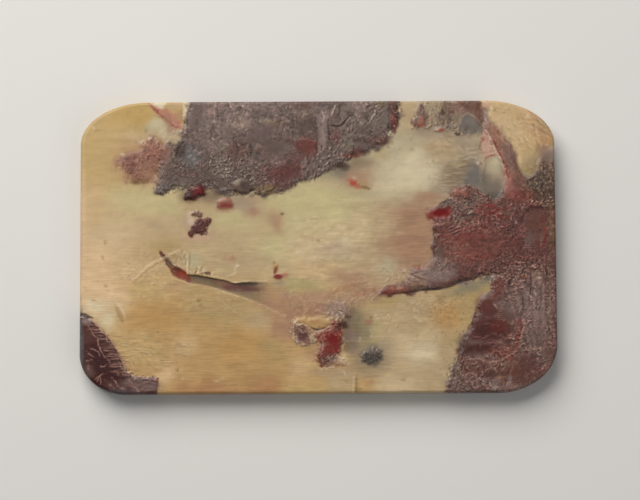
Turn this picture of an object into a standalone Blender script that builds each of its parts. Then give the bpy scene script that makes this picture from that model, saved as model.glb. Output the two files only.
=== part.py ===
"""Carved soapstone plaque, lying on its back with the carved face up.

One solid: a thin slab with elliptical corners and worn edges. Its face carries a low relief of a river
landscape: cliffs, trees, loose rocks and a boat, standing about a millimetre above the ground. The
origin is the centre of the flat back, +X runs along the long side, and +Y to the picture's top.
"""

import math
from dataclasses import dataclass

import bmesh
import bpy
import numpy as np
from mathutils import Vector, noise
from mathutils.geometry import delaunay_2d_cdt

# Slab, its thickness taken to the highest point of the relief
LENGTH = 0.190
HEIGHT = 0.117
THICKNESS = 0.010

# Height of the relief above the ground it is carved down to
RELIEF = 0.0012

# Corners, each a quarter ellipse: reach along the long side, reach along the short side
TOP_LEFT_REACH = (0.0275, 0.0170)
TOP_RIGHT_REACH = (0.0275, 0.0175)
BOTTOM_LEFT_REACH = (0.0180, 0.0160)
BOTTOM_RIGHT_REACH = (0.0230, 0.0190)
CORNER_STEPS = 9

# Edges of the face, worn round more on the left side than elsewhere, and of the back
LEFT_ROUND = 0.0018
RIGHT_ROUND = 0.0009
TOP_ROUND = 0.0007
BOTTOM_ROUND = 0.0010
BACK_ROUND = 0.0008
ROUND_STEPS = 3

# Carving: width of a cut edge, spacing of outline points, spacing of the facets, and grain of the rock
EDGE_WALL = 0.0005
OUTLINE_STEP = 0.0024
FACET_STEP = 0.0030
FACET_GRAIN = 0.0050
RUGGED_GRAIN = 0.0030

# Corners of the sheet that the relief's outlines are drawn on. It is drawn in steps of about 0.4 mm,
# counted from its own top left, and it narrows a little towards the top.
SHEET_TOP_LEFT = (80.4, 101.7)
SHEET_TOP_RIGHT = (553.6, 99.8)
SHEET_BOTTOM_LEFT = (79.5, 394.3)
SHEET_BOTTOM_RIGHT = (558.0, 391.6)

# Colour of the stone
HONEY = (0.52, 0.37, 0.21, 1.0)
POLISH = 0.42

UPPER_CLIFF = (
    (188, 94), (185, 115), (181, 132), (169, 143), (158, 163), (157, 179), (156, 191), (167, 194),
    (185, 189), (206, 190), (228, 195), (246, 192), (270, 194), (292, 188), (314, 176), (340, 165),
    (363, 153), (386, 142), (395, 128), (398, 115), (397, 94),
)
RED_TREES = (
    (149, 137), (160, 141), (168, 150), (165, 160), (156, 170), (147, 183), (134, 184), (123, 171),
    (118, 160), (124, 153), (137, 147),
)
TOP_FOREST = (
    (419, 94), (417, 110), (411, 124), (424, 128), (444, 132), (462, 134), (482, 132), (480, 116),
    (480, 94),
)
CREAM_CORNER = (
    (479, 94), (488, 112), (500, 130), (510, 143), (516, 157), (519, 166), (525, 173), (531, 174),
    (536, 167), (537, 157), (545, 146), (572, 140), (572, 94),
)
RIGHT_MOUNTAIN = (
    (478, 94), (484, 124), (492, 140), (501, 158), (506, 176), (503, 190), (490, 197), (478, 189),
    (460, 187), (451, 196), (439, 205), (428, 211), (429, 220), (433, 232), (433, 262), (408, 283),
    (380, 290), (380, 296), (405, 293), (430, 290), (456, 283), (493, 274), (490, 292), (477, 311),
    (467, 332), (459, 352), (455, 368), (447, 392), (446, 406), (582, 406), (582, 140), (545, 148),
    (538, 160), (531, 175), (520, 168), (512, 144), (497, 125), (487, 108), (484, 94),
)
CORNER_ROCK = (
    (68, 316), (91, 319), (103, 329), (113, 341), (121, 356), (128, 371), (135, 376), (157, 378),
    (158, 408), (68, 408),
)
SHORE = (
    (258, 283), (280, 289), (302, 294), (330, 290), (362, 281), (376, 297), (352, 316), (332, 322),
    (298, 324), (281, 312),
)
BOAT_HULL = (
    (160, 252), (167, 259), (176, 267), (188, 275), (214, 278), (234, 283), (258, 283), (276, 292),
    (290, 317), (266, 306), (234, 294), (206, 286), (184, 282), (172, 273), (163, 260),
)
RED_MASS = (
    (321, 332), (336, 324), (342, 334), (340, 349), (333, 356), (323, 362), (318, 356), (322, 346),
    (318, 338),
)
BOAT_POLE = ((187, 251), (176, 253), (165, 259), (150, 268), (133, 281))
SCRATCH_MARK = ((114, 300), (121, 307), (126, 319))
ROCK_LINE = ((87, 325), (98, 339), (101, 350), (112, 364))
ROCK_LINE_LOW = ((104, 377), (116, 387), (126, 390))
CLIFF_CLEFT = ((340, 92), (338, 110), (326, 126), (316, 148), (301, 170))
MOUNTAIN_CLEFT = ((524, 202), (520, 240), (505, 268), (521, 312), (513, 352))
MOUNTAIN_CLEFT_LOW = ((462, 360), (489, 362), (516, 352), (551, 347))


@dataclass
class Mass:
    """A raised or sunken area: its outline on the sheet, and its heights as shares of the relief."""

    outline: tuple
    rise: float
    wall: float = EDGE_WALL
    roughness: float = 0.0
    rugged: float = 0.0


@dataclass
class Line:
    """A raised or sunken line: its points on the sheet, half its width, and its rise as a share."""

    points: tuple
    half_width: float
    rise: float


def oval(centre, reach, count=14):
    """Outline of an upright oval on the sheet."""
    turns = [2 * math.pi * index / count for index in range(count)]
    return tuple((centre[0] + reach[0] * math.cos(turn), centre[1] + reach[1] * math.sin(turn)) for turn in turns)


ROCK_MASSES = (
    Mass(UPPER_CLIFF, rise=0.64, roughness=0.42, rugged=0.0005),
    Mass(RIGHT_MOUNTAIN, rise=0.68, roughness=0.46, rugged=0.0005),
    Mass(TOP_FOREST, rise=0.50, roughness=0.26, rugged=0.0004),
    Mass(CREAM_CORNER, rise=0.52, roughness=0.12, rugged=0.0002),
    Mass(CORNER_ROCK, rise=0.52, roughness=0.14, rugged=0.0002),
    Mass(SHORE, rise=0.30, roughness=0.26, rugged=0.0004),
)
LOOSE_ROCKS = (
    Mass(RED_MASS, rise=0.80, wall=0.0012, roughness=0.20, rugged=0.0004),
    Mass(oval((301, 335), (10, 11)), rise=0.66, wall=0.0012, roughness=0.20, rugged=0.0004),
    Mass(oval((372, 356), (11, 9)), rise=0.60, wall=0.0016, rugged=0.0003),
    Mass(oval((195, 193), (10, 7)), rise=0.98, wall=0.0014, rugged=0.0002),
    Mass(oval((225, 204), (8, 5)), rise=0.55, wall=0.0012),
    Mass(oval((199, 227), (9, 9)), rise=0.60, wall=0.0012, rugged=0.0004),
    Mass(oval((197, 214), (6, 3)), rise=0.40, wall=0.0006),
    Mass(oval((243, 187), (9, 7)), rise=1.00, wall=0.0014, rugged=0.0002),
    Mass(oval((439, 214), (11, 6)), rise=0.96, wall=0.0012, rugged=0.0002),
    Mass(oval((471, 123), (10, 9)), rise=0.78, wall=0.0012, rugged=0.0002),
)
TREE_CROWNS = (
    Mass(RED_TREES, rise=0.66, wall=0.0012, roughness=0.24, rugged=0.0004),
    Mass(oval((178, 172), (15, 11)), rise=0.92, wall=0.0020, roughness=0.16, rugged=0.0004),
    Mass(oval((221, 170), (14, 12)), rise=0.96, wall=0.0024, roughness=0.16, rugged=0.0004),
    Mass(oval((258, 170), (16, 9)), rise=0.92, wall=0.0020, roughness=0.16, rugged=0.0004),
    Mass(oval((334, 154), (15, 12)), rise=0.94, wall=0.0022, roughness=0.16, rugged=0.0004),
    Mass(oval((360, 118), (14, 10)), rise=0.94, wall=0.0022, roughness=0.16, rugged=0.0004),
    Mass(oval((543, 184), (13, 18)), rise=0.96, wall=0.0022, roughness=0.16, rugged=0.0004),
    Mass(oval((465, 205), (14, 11)), rise=0.94, wall=0.0022, roughness=0.16, rugged=0.0004),
)
HOLLOWS = (
    Mass(BOAT_HULL, rise=-0.60),
)
LINES = (
    Line(BOAT_POLE, half_width=0.0008, rise=0.34),
    Line(SCRATCH_MARK, half_width=0.0008, rise=-0.24),
    Line(ROCK_LINE, half_width=0.0006, rise=-0.26),
    Line(ROCK_LINE_LOW, half_width=0.0006, rise=-0.26),
    Line(CLIFF_CLEFT, half_width=0.0011, rise=-0.40),
    Line(MOUNTAIN_CLEFT, half_width=0.0011, rise=-0.40),
    Line(MOUNTAIN_CLEFT_LOW, half_width=0.0009, rise=-0.30),
)


def clear_scene():
    """Remove every object of the scene."""
    for thing in list(bpy.data.objects):
        bpy.data.objects.remove(thing, do_unlink=True)


def on_face(point):
    """Place on the face, from its centre, of a point of the sheet."""
    top_left, top_right = np.array(SHEET_TOP_LEFT), np.array(SHEET_TOP_RIGHT)
    bottom_left, bottom_right = np.array(SHEET_BOTTOM_LEFT), np.array(SHEET_BOTTOM_RIGHT)
    down = (point[1] - top_left[1]) / (bottom_left[1] - top_left[1])
    left = top_left + (bottom_left - top_left) * down
    right = top_right + (bottom_right - top_right) * down
    across = (point[0] - left[0]) / (right[0] - left[0])
    top = top_left + (top_right - top_left) * across
    bottom = bottom_left + (bottom_right - bottom_left) * across
    down = (point[1] - top[1]) / (bottom[1] - top[1])
    return np.array(((across - 0.5) * LENGTH, (0.5 - down) * HEIGHT))


def slab_outline():
    """Points of the slab's outline, anticlockwise from the start of the bottom right corner."""
    half = np.array((LENGTH / 2, HEIGHT / 2))
    corners = (
        ((1, -1), BOTTOM_RIGHT_REACH, -90),
        ((1, 1), TOP_RIGHT_REACH, 0),
        ((-1, 1), TOP_LEFT_REACH, 90),
        ((-1, -1), BOTTOM_LEFT_REACH, 180),
    )
    points = []
    for side, reach, start in corners:
        centre = np.array(side) * (half - np.array(reach))
        for step in range(CORNER_STEPS + 1):
            turn = math.radians(start + 90 * step / CORNER_STEPS)
            points.append(centre + np.array(reach) * (math.cos(turn), math.sin(turn)))
    return np.array(points)


def between(before, start, end, after, share):
    """Point of the smooth curve through four points, at a share of its middle stretch."""
    return 0.5 * (
        2 * start
        + (end - before) * share
        + (2 * before - 5 * start + 4 * end - after) * share ** 2
        + (3 * start - before - 3 * end + after) * share ** 3
    )


def smooth(points, closed, step=OUTLINE_STEP):
    """Points at even steps along a smooth curve through the given ones."""
    if closed:
        points = np.vstack((points[-1:], points, points[:2]))
    else:
        points = np.vstack((points[:1], points, points[-1:]))
    shares = np.linspace(0, 1, 8, endpoint=False)
    stretches = zip(points, points[1:], points[2:], points[3:])
    dense = [between(*four, share) for four in stretches for share in shares]
    dense = np.array(dense + [points[-2]])
    walked = np.concatenate(([0], np.cumsum(np.linalg.norm(np.diff(dense, axis=0), axis=1))))
    steps = max(8 if closed else 2, round(walked[-1] / step))
    marks = np.linspace(0, walked[-1], steps + 1)
    even = np.column_stack([np.interp(marks, walked, dense[:, axis]) for axis in (0, 1)])
    return even[:-1] if closed else even


def inward(loop):
    """Unit inward normals of a closed outline, whichever way it runs."""
    following, previous = np.roll(loop, -1, axis=0), np.roll(loop, 1, axis=0)
    along = following - previous
    along /= np.linalg.norm(along, axis=1)[:, None]
    area = np.sum(loop[:, 0] * following[:, 1] - following[:, 0] * loop[:, 1])
    return np.column_stack((-along[:, 1], along[:, 0])) * np.sign(area)


def rugged(loop, amount, seed):
    """The outline with its points moved in and out by a steady noise."""
    shift = [noise.noise(Vector((x / RUGGED_GRAIN, y / RUGGED_GRAIN, seed))) for x, y in loop]
    return loop + inward(loop) * (np.array(shift) * 2 * amount)[:, None]


def segment_gaps(places, starts, ends):
    """Distance from each place to each segment, as a table."""
    along = ends - starts
    length2 = np.maximum(np.sum(along ** 2, axis=1), 1e-18)
    offset = places[:, None, :] - starts[None]
    share = np.clip(np.sum(offset * along[None], axis=2) / length2, 0, 1)
    return np.linalg.norm(offset - share[..., None] * along[None], axis=2)


def depth_inside(places, loop):
    """Distance to a closed outline, positive inside and negative outside."""
    ends = np.roll(loop, -1, axis=0)
    gap = segment_gaps(places, loop, ends).min(axis=1)
    x, y = places[:, 0][:, None], places[:, 1][:, None]
    crosses = (loop[None, :, 1] > y) != (ends[None, :, 1] > y)
    climb = np.where(ends[:, 1] == loop[:, 1], 1e-18, ends[:, 1] - loop[:, 1])
    meets = loop[None, :, 0] + (y - loop[None, :, 1]) * ((ends[:, 0] - loop[:, 0]) / climb)[None]
    inside = np.sum(crosses & (x < meets), axis=1) % 2 == 1
    return np.where(inside, gap, -gap)


def round_rows(radius):
    """Rows of an edge rounded by a radius: how far each is drawn in, and how far below the top it is."""
    turns = [math.radians(90 * step / ROUND_STEPS) for step in range(ROUND_STEPS + 1)]
    return [(radius * (1 - math.cos(turn)), radius * (1 - math.sin(turn))) for turn in turns]


class Relief:
    """The carved face: its outlines laid out on the slab, and its height at any place."""

    def __init__(self):
        self.outline = slab_outline()
        facing = -inward(self.outline)
        side = np.where(facing[:, 0] < 0, LEFT_ROUND, RIGHT_ROUND)
        end = np.where(facing[:, 1] < 0, BOTTOM_ROUND, TOP_ROUND)
        self.rounds = side * facing[:, 0] ** 2 + end * facing[:, 1] ** 2
        masses = ROCK_MASSES + LOOSE_ROCKS + TREE_CROWNS + HOLLOWS
        self.masses = [(mass, self.laid_out(mass, seed)) for seed, mass in enumerate(masses)]
        self.lines = [
            (line, smooth(np.array([on_face(point) for point in line.points]), closed=False)) for line in LINES
        ]

    def laid_out(self, mass, seed):
        """Outline of a mass on the face."""
        loop = smooth(np.array([on_face(point) for point in mass.outline]), closed=True)
        return rugged(loop, mass.rugged, seed)

    def drop(self, places):
        """How far the worn edge lies below the carving, at each place."""
        gaps = segment_gaps(places, self.outline, np.roll(self.outline, -1, axis=0))
        nearest = gaps.argmin(axis=1)
        radius = (self.rounds[nearest] + np.roll(self.rounds, -1)[nearest]) / 2
        into = np.clip(gaps.min(axis=1), 0, radius)
        return radius - np.sqrt(radius ** 2 - (radius - into) ** 2)

    def height(self, places):
        """Height of the finished face above the back, at each place."""
        level = np.zeros(len(places))
        spots = [Vector((x / FACET_GRAIN, y / FACET_GRAIN, 0.5)) for x, y in places]
        facets = np.array([noise.noise(spot) for spot in spots])
        for mass, loop in self.masses:
            slope = np.clip(depth_inside(places, loop) / mass.wall, 0, 1)
            top = (mass.rise + mass.roughness * facets) * slope
            level = np.where(slope > 0, top, level) if mass.rise < 0 else np.maximum(level, top)
        for line, path in self.lines:
            gap = segment_gaps(places, path[:-1], path[1:]).min(axis=1)
            level = level + line.rise * np.clip(1 - gap / line.half_width, 0, 1)
        return THICKNESS - RELIEF + np.minimum(level, 1) * RELIEF - self.drop(places)

    def facet_points(self):
        """Scattered points on rock and foliage, clear of every edge, which give them their facets."""
        dice = np.random.default_rng(7)
        across, up = (np.arange(-side / 2, side / 2, FACET_STEP) for side in (LENGTH, HEIGHT))
        points = np.array([(x, y) for x in across for y in up])
        points += dice.uniform(-0.32, 0.32, points.shape) * FACET_STEP
        clear = depth_inside(points, self.outline) > self.rounds.max() + 0.2 * FACET_STEP
        rock = np.zeros(len(points), dtype=bool)
        for mass, loop in self.masses:
            depth = depth_inside(points, loop)
            clear &= np.abs(depth - mass.wall / 2) > mass.wall / 2 + 0.2 * FACET_STEP
            rock |= (depth > 0) & (mass.roughness > 0)
        return points[clear & rock]

    def carving_guides(self):
        """Guide lines of the carving: the foot and shoulder of each mass, and each line's middle and sides."""
        guides = []
        for mass, loop in self.masses:
            guides += [(loop, True), (loop + inward(loop) * mass.wall, True)]
        for line, path in self.lines:
            along = np.gradient(path, axis=0)
            along /= np.linalg.norm(along, axis=1)[:, None]
            aside = np.column_stack((-along[:, 1], along[:, 0])) * line.half_width
            guides += [(path, False), (path + aside, False), (path - aside, False)]
        return guides

    def guides(self):
        """Guide lines of the face's mesh, each with whether it is closed, with no point close to the outline."""
        toward = inward(self.outline)
        guides = []
        for drawn_in, _ in round_rows(1.0):
            guides.append((self.outline + toward * (self.rounds * drawn_in)[:, None], True))
        for guide, closed in self.carving_guides():
            apart = np.abs(depth_inside(guide, self.outline)) > OUTLINE_STEP / 8
            guides.append((guide[apart], closed))
        return guides


def face_mesh(relief):
    """Places, heights and triangles of the carved face, cut along every guide line."""
    points, edges = [], []
    for guide, closed in relief.guides():
        first = len(points)
        points += [Vector(point) for point in guide]
        stretches = len(guide) if closed else len(guide) - 1
        edges += [(first + index, first + (index + 1) % len(guide)) for index in range(stretches)]
    points += [Vector(point) for point in relief.facet_points()]
    weld = OUTLINE_STEP / 40
    corners, _, triangles, *_ = delaunay_2d_cdt(points, edges, [], 0, weld)
    places = np.array([tuple(corner) for corner in corners])
    middles = np.array([places[list(triangle)].mean(axis=0) for triangle in triangles])
    kept = depth_inside(middles, relief.outline) > 0
    return places, relief.height(places), [triangle for triangle, keep in zip(triangles, kept) if keep]


def soapstone():
    """Polished honey-coloured soapstone."""
    material = bpy.data.materials.new("soapstone")
    material.use_nodes = True
    shader = material.node_tree.nodes["Principled BSDF"]
    shader.inputs["Base Color"].default_value = HONEY
    shader.inputs["Roughness"].default_value = POLISH
    shader.inputs["Metallic"].default_value = 0.0
    return material


def close_below(mesh, rim):
    """Carry the open rim of the face down the sides and round the back edge, and close the flat back."""
    drawn_before = 0.0
    for drawn_in, height in round_rows(BACK_ROUND):
        made = bmesh.ops.extrude_edge_only(mesh, edges=rim)["geom"]
        for corner in (item for item in made if isinstance(item, bmesh.types.BMVert)):
            corner.co.x *= (LENGTH - 2 * drawn_in) / (LENGTH - 2 * drawn_before)
            corner.co.y *= (HEIGHT - 2 * drawn_in) / (HEIGHT - 2 * drawn_before)
            corner.co.z = height
        rim = [item for item in made if isinstance(item, bmesh.types.BMEdge)]
        drawn_before = drawn_in
    bmesh.ops.contextual_create(mesh, geom=rim)


def build_plaque():
    """The plaque: its carved face, its sides and its flat back, as one closed body."""
    places, heights, triangles = face_mesh(Relief())
    mesh = bmesh.new()
    used = sorted({corner for triangle in triangles for corner in triangle})
    corners = {index: mesh.verts.new((*places[index], heights[index])) for index in used}
    for triangle in triangles:
        mesh.faces.new([corners[index] for index in triangle])
    close_below(mesh, [edge for edge in mesh.edges if edge.is_boundary])
    bmesh.ops.recalc_face_normals(mesh, faces=mesh.faces)
    data = bpy.data.meshes.new("plaque")
    mesh.to_mesh(data)
    mesh.free()
    data.shade_smooth()
    data.set_sharp_from_angle(angle=math.radians(24))
    data.materials.append(soapstone())
    plaque = bpy.data.objects.new("plaque", data)
    bpy.context.collection.objects.link(plaque)
    return plaque


clear_scene()
build_plaque()
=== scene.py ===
"""Looks of a carved soapstone plaque: its low relief, its stone and the studio it lies in.

The face is first drawn on a sheet, in steps of about 0.4 mm, as colour, height and finish. A fine grid is
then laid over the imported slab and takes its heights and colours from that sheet.
"""

from __future__ import annotations

import logging
import math
from collections.abc import Sequence
from dataclasses import dataclass, field
from enum import Enum

import bpy
import numpy as np
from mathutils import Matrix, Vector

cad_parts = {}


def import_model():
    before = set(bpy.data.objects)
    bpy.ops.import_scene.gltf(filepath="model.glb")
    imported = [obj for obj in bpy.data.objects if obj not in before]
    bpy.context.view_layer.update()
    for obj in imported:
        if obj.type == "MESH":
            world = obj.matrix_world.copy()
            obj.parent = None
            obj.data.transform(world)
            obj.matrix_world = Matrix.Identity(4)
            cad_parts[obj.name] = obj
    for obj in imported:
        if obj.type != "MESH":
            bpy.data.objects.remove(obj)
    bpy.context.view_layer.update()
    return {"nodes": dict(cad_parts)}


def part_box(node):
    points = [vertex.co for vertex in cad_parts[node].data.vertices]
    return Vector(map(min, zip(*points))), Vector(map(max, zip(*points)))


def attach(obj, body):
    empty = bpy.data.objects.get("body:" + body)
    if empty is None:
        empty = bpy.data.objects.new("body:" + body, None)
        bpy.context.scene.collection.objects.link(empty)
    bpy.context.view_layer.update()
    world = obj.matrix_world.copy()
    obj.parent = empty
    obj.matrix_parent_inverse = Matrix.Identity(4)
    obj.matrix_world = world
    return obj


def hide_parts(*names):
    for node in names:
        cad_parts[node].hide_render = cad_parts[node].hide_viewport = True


LOG = logging.getLogger("plaque")
MILLIMETRE = 0.001
Points = Sequence[tuple[float, float]]


class Stone(Enum):
    """Colours that run through the soapstone, the dirt and wear on it, and the painted shade and highlight
    laid on it, as sRGB hex.
    """

    HONEY = "#B99D6A"
    OCHRE = "#B5955A"
    CREAM = "#C6AF8B"
    PALE_CREAM = "#D0C2A2"
    PEACH = "#D3B48D"
    TAN = "#B49161"
    RUST_TAN = "#A87F58"
    OLIVE_CREAM = "#BCAF82"
    OLIVE = "#A89B6E"
    ROSE_TAN = "#9F7B62"
    SAND = "#B29B78"
    GREY_CREAM = "#B0A486"
    BISCUIT = "#C3A67C"
    AMBER = "#B28C57"
    OLIVE_TAN = "#A88F62"
    OLIVE_GREY = "#837B66"
    GREY_TAN = "#9C8A74"
    HULL_OLIVE = "#6C573A"
    HULL_GREY = "#7C6A54"
    # Pale flecks of the stone, and painted highlight on ridges, rims and edges
    PALE_LIGHT = "#D8C8B4"
    # A pale pink of the stone, also laid as painted highlight on ridges and rims
    PINK_LIGHT = "#C39A88"
    MAUVE = "#6C5C58"
    MAUVE_LIGHT = "#8E7A74"
    DUSK = "#65534E"
    MAUVE_GREY = "#85706A"
    ASH = "#6E6459"
    BARK = "#5B4A42"
    UMBER = "#77603E"
    SHADOW = "#35251F"
    NIGHT = "#3E3A36"
    CLARET = "#7A443C"
    SALMON = "#AD7460"
    RUBY = "#6E141A"
    RUSSET = "#74402C"
    BRICK_RED = "#8C3524"
    SLATE = "#69645F"
    # A blue-grey of the stone, also laid along the corner rock's rounded edges as painted reflection
    SLATE_BLUE = "#5F6468"
    BRICK = "#86594A"
    TERRACOTTA = "#9A6450"
    ROSE = "#A16A60"
    MAROON = "#63423A"
    WINE = "#57332E"
    CRIMSON = "#762E2A"
    BLOOD = "#701310"
    BRIGHT_RED = "#A8382E"
    PLUM = "#40221F"
    DEEP_PLUM = "#34191A"
    VIOLET = "#5A4A63"


def srgb(code: str) -> np.ndarray:
    """Return a hex colour's three sRGB values from 0 to 1."""
    return np.array([int(code[place:place + 2], 16) for place in (1, 3, 5)]) / 255


def to_linear(values: np.ndarray) -> np.ndarray:
    """Return sRGB values turned to linear ones."""
    return np.where(values <= 0.04045, values / 12.92, ((np.maximum(values, 0.04045) + 0.055) / 1.055) ** 2.4)


def ease(share: np.ndarray) -> np.ndarray:
    """Return a share held between 0 and 1 and eased at both ends."""
    held = np.clip(share, 0, 1)
    return held * held * (3 - 2 * held)


def lattice(column: np.ndarray, row: np.ndarray, seed: int) -> np.ndarray:
    """Return a steady random number from -1 to 1 for each whole place."""
    mixed = (column * 374761393 + row * 668265263 + seed * 974634777) & 0xFFFFFFFF
    mixed = ((mixed ^ (mixed >> 13)) * 1274126177) & 0xFFFFFFFF
    return (mixed ^ (mixed >> 16)) / 2147483648.0 - 1


def clouds(x: np.ndarray, y: np.ndarray, seed: int, octaves: int = 1) -> np.ndarray:
    """Return smooth noise from about -1 to 1.

    Args:
        x: Places across, one lump to a unit.
        y: Places down.
        seed: Which noise.
        octaves: How many finer layers are added, each half as strong.

    Returns:
        The noise at each place.
    """
    total = np.zeros(np.broadcast(x, y).shape)
    strength, scale = 1.0, 1.0
    for octave in range(octaves):
        across, down = x * scale, y * scale
        column, row = np.floor(across).astype(np.int64), np.floor(down).astype(np.int64)
        right, low = ease(across - column), ease(down - row)
        layer = seed + 17 * octave
        top = lattice(column, row, layer) * (1 - right) + lattice(column + 1, row, layer) * right
        bottom = lattice(column, row + 1, layer) * (1 - right) + lattice(column + 1, row + 1, layer) * right
        total += strength * (top * (1 - low) + bottom * low)
        strength, scale = strength / 2, scale * 2.03
    return total


def smooth_line(points: Points, closed: bool, step: float = 1.5) -> np.ndarray:
    """Run a smooth curve through some points.

    Args:
        points: Places on the sheet.
        closed: Whether the curve joins up.
        step: Distance between the places returned.

    Returns:
        Places at even steps along the curve, the first repeated at the end where it is closed.
    """
    ends = list(points)
    through = np.array([ends[-1], *ends, *ends[:2]] if closed else [ends[0], *ends, ends[-1]], float)
    spans = np.maximum(np.hypot(*np.diff(through, axis=0).T), 1e-6)
    leans = (through[2:] - through[:-2]) / (spans[1:] + spans[:-1])[:, None]
    share = np.linspace(0, 1, 8, endpoint=False)[:, None]
    square, cube = share ** 2, share ** 3
    dense = []
    for index, span in enumerate(spans[1:-1]):
        here, there = through[index + 1], through[index + 2]
        dense.append(
            (2 * cube - 3 * square + 1) * here + (cube - 2 * square + share) * span * leans[index]
            + (3 * square - 2 * cube) * there + (cube - square) * span * leans[index + 1]
        )
    curve = np.vstack([*dense, through[-2]])
    walked = np.concatenate(([0], np.cumsum(np.hypot(*np.diff(curve, axis=0).T))))
    marks = np.linspace(0, walked[-1], max(3, round(walked[-1] / step)) + 1)
    return np.column_stack([np.interp(marks, walked, curve[:, axis]) for axis in (0, 1)])


def nearest_on(x: np.ndarray, y: np.ndarray, path: np.ndarray) -> tuple[np.ndarray, np.ndarray]:
    """Measure places against a path.

    Args:
        x: Places across.
        y: Places down.
        path: The path's points.

    Returns:
        The distance to the path, and the share of its length at which the nearest point lies.
    """
    gap, along = np.full(x.shape, np.inf), np.zeros(x.shape)
    for index, (start, end) in enumerate(zip(path, path[1:])):
        run = end - start
        share = np.clip(((x - start[0]) * run[0] + (y - start[1]) * run[1]) / max(run @ run, 1e-9), 0, 1)
        distance = np.hypot(x - start[0] - share * run[0], y - start[1] - share * run[1])
        closer = distance < gap
        gap = np.where(closer, distance, gap)
        along = np.where(closer, index + share, along)
    return gap, along / (len(path) - 1)


def depth_inside(x: np.ndarray, y: np.ndarray, loop: np.ndarray) -> np.ndarray:
    """Return the distance to a closed path, positive inside it and negative outside."""
    gap, _ = nearest_on(x, y, loop)
    inside = np.zeros(x.shape, dtype=bool)
    for start, end in zip(loop, loop[1:]):
        if start[1] != end[1]:
            crosses = (start[1] > y) != (end[1] > y)
            inside ^= crosses & (x < start[0] + (y - start[1]) * (end[0] - start[0]) / (end[1] - start[1]))
    return np.where(inside, gap, -gap)


def turned(x: np.ndarray, y: np.ndarray, degrees: float) -> tuple[np.ndarray, np.ndarray]:
    """Return places measured along a direction and aside from it, for a direction in degrees."""
    cos, sin = math.cos(math.radians(degrees)), math.sin(math.radians(degrees))
    return x * cos + y * sin, y * cos - x * sin


@dataclass
class Sheet:
    """The drawing of the carved face.

    It is counted in steps of about 0.4 mm, across and down, and narrows a little towards the top. Heights
    are in millimetres above the ground, and the turn of the fine strokes is in degrees.
    """

    top_left: tuple[float, float] = (80.4, 101.7)
    top_right: tuple[float, float] = (553.6, 99.8)
    bottom_left: tuple[float, float] = (79.5, 394.3)
    bottom_right: tuple[float, float] = (558.0, 391.6)
    margin: float = 6.0
    cell: float = 0.5

    def __post_init__(self) -> None:
        """Lay out the empty arrays."""
        self.start = np.array((self.bottom_left[0], self.top_right[1])) - self.margin
        end = np.array((self.bottom_right[0], self.bottom_left[1])) + self.margin
        across, down = (np.arange(low, high, self.cell) for low, high in zip(self.start, end))
        self.x, self.y = np.meshgrid(across, down)
        self.colour = np.zeros((*self.x.shape, 3))
        self.height = np.zeros(self.x.shape)
        self.rock = np.zeros(self.x.shape)
        self.ripple = np.zeros(self.x.shape)
        self.turn = np.zeros(self.x.shape)
        self.worn = np.zeros(self.x.shape)
        self.calm = np.zeros(self.x.shape)

    def window(self, low: np.ndarray, high: np.ndarray, margin: float) -> tuple[slice, slice]:
        """Return the rows and columns that cover a box with a margin round it."""
        first = np.floor((np.asarray(low) - margin - self.start) / self.cell).astype(int)
        last = np.ceil((np.asarray(high) + margin - self.start) / self.cell).astype(int) + 1
        rows, columns = self.x.shape
        first, last = np.maximum(first, 0), np.minimum(last, (columns, rows))
        return slice(first[1], max(last[1], first[1])), slice(first[0], max(last[0], first[0]))

    def lay(self, where: tuple[slice, slice], weight: np.ndarray, stone: Stone) -> None:
        """Mix a colour in by a weight."""
        here = self.colour[where]
        self.colour[where] = here + (srgb(stone.value) - here) * np.clip(weight, 0, 1)[..., None]

    def shade(self, where: tuple[slice, slice], amount: np.ndarray) -> None:
        """Make the colour lighter or darker by a share."""
        self.colour[where] = np.clip(self.colour[where] * (1 + amount)[..., None], 0, 1)

    def read(self, values: np.ndarray, places: np.ndarray) -> np.ndarray:
        """Return an array's values between its cells, at places on the sheet."""
        rows, columns = self.x.shape
        spots = (places - self.start) / self.cell
        spots = np.clip(spots, 0, (columns - 1.001, rows - 1.001))
        column, row = spots.astype(int).T
        right, low = (spots - spots.astype(int)).T
        if values.ndim == 3:
            right, low = right[:, None], low[:, None]
        top = values[row, column] * (1 - right) + values[row, column + 1] * right
        bottom = values[row + 1, column] * (1 - right) + values[row + 1, column + 1] * right
        return top * (1 - low) + bottom * low

    def places(self, across: np.ndarray, down: np.ndarray) -> np.ndarray:
        """Return places on the sheet from shares of the face's length and height."""
        across, down = across[:, None], down[:, None]
        top = np.array(self.top_left) * (1 - across) + np.array(self.top_right) * across
        bottom = np.array(self.bottom_left) * (1 - across) + np.array(self.bottom_right) * across
        return top * (1 - down) + bottom * down


def soften(values: np.ndarray, reach: float) -> np.ndarray:
    """Return an array blurred by a bell of a reach in cells."""
    taps = np.arange(-math.ceil(2.5 * reach), math.ceil(2.5 * reach) + 1)
    bell = np.exp(-0.5 * (taps / reach) ** 2)
    bell /= bell.sum()
    result = values
    for axis in (0, 1):
        widths = [(0, 0)] * values.ndim
        widths[axis] = (len(taps) // 2, len(taps) // 2)
        padded = np.pad(result, widths, mode="edge")
        result = sum(
            share * np.take(padded, range(offset, offset + values.shape[axis]), axis=axis)
            for offset, share in enumerate(bell)
        )
    return result


@dataclass
class Stain:
    """A soft cloud of one colour in the ground: its centre, reach and weight among its neighbours."""

    x: float
    y: float
    wide: float
    high: float
    stone: Stone
    weight: float = 1.0


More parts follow.
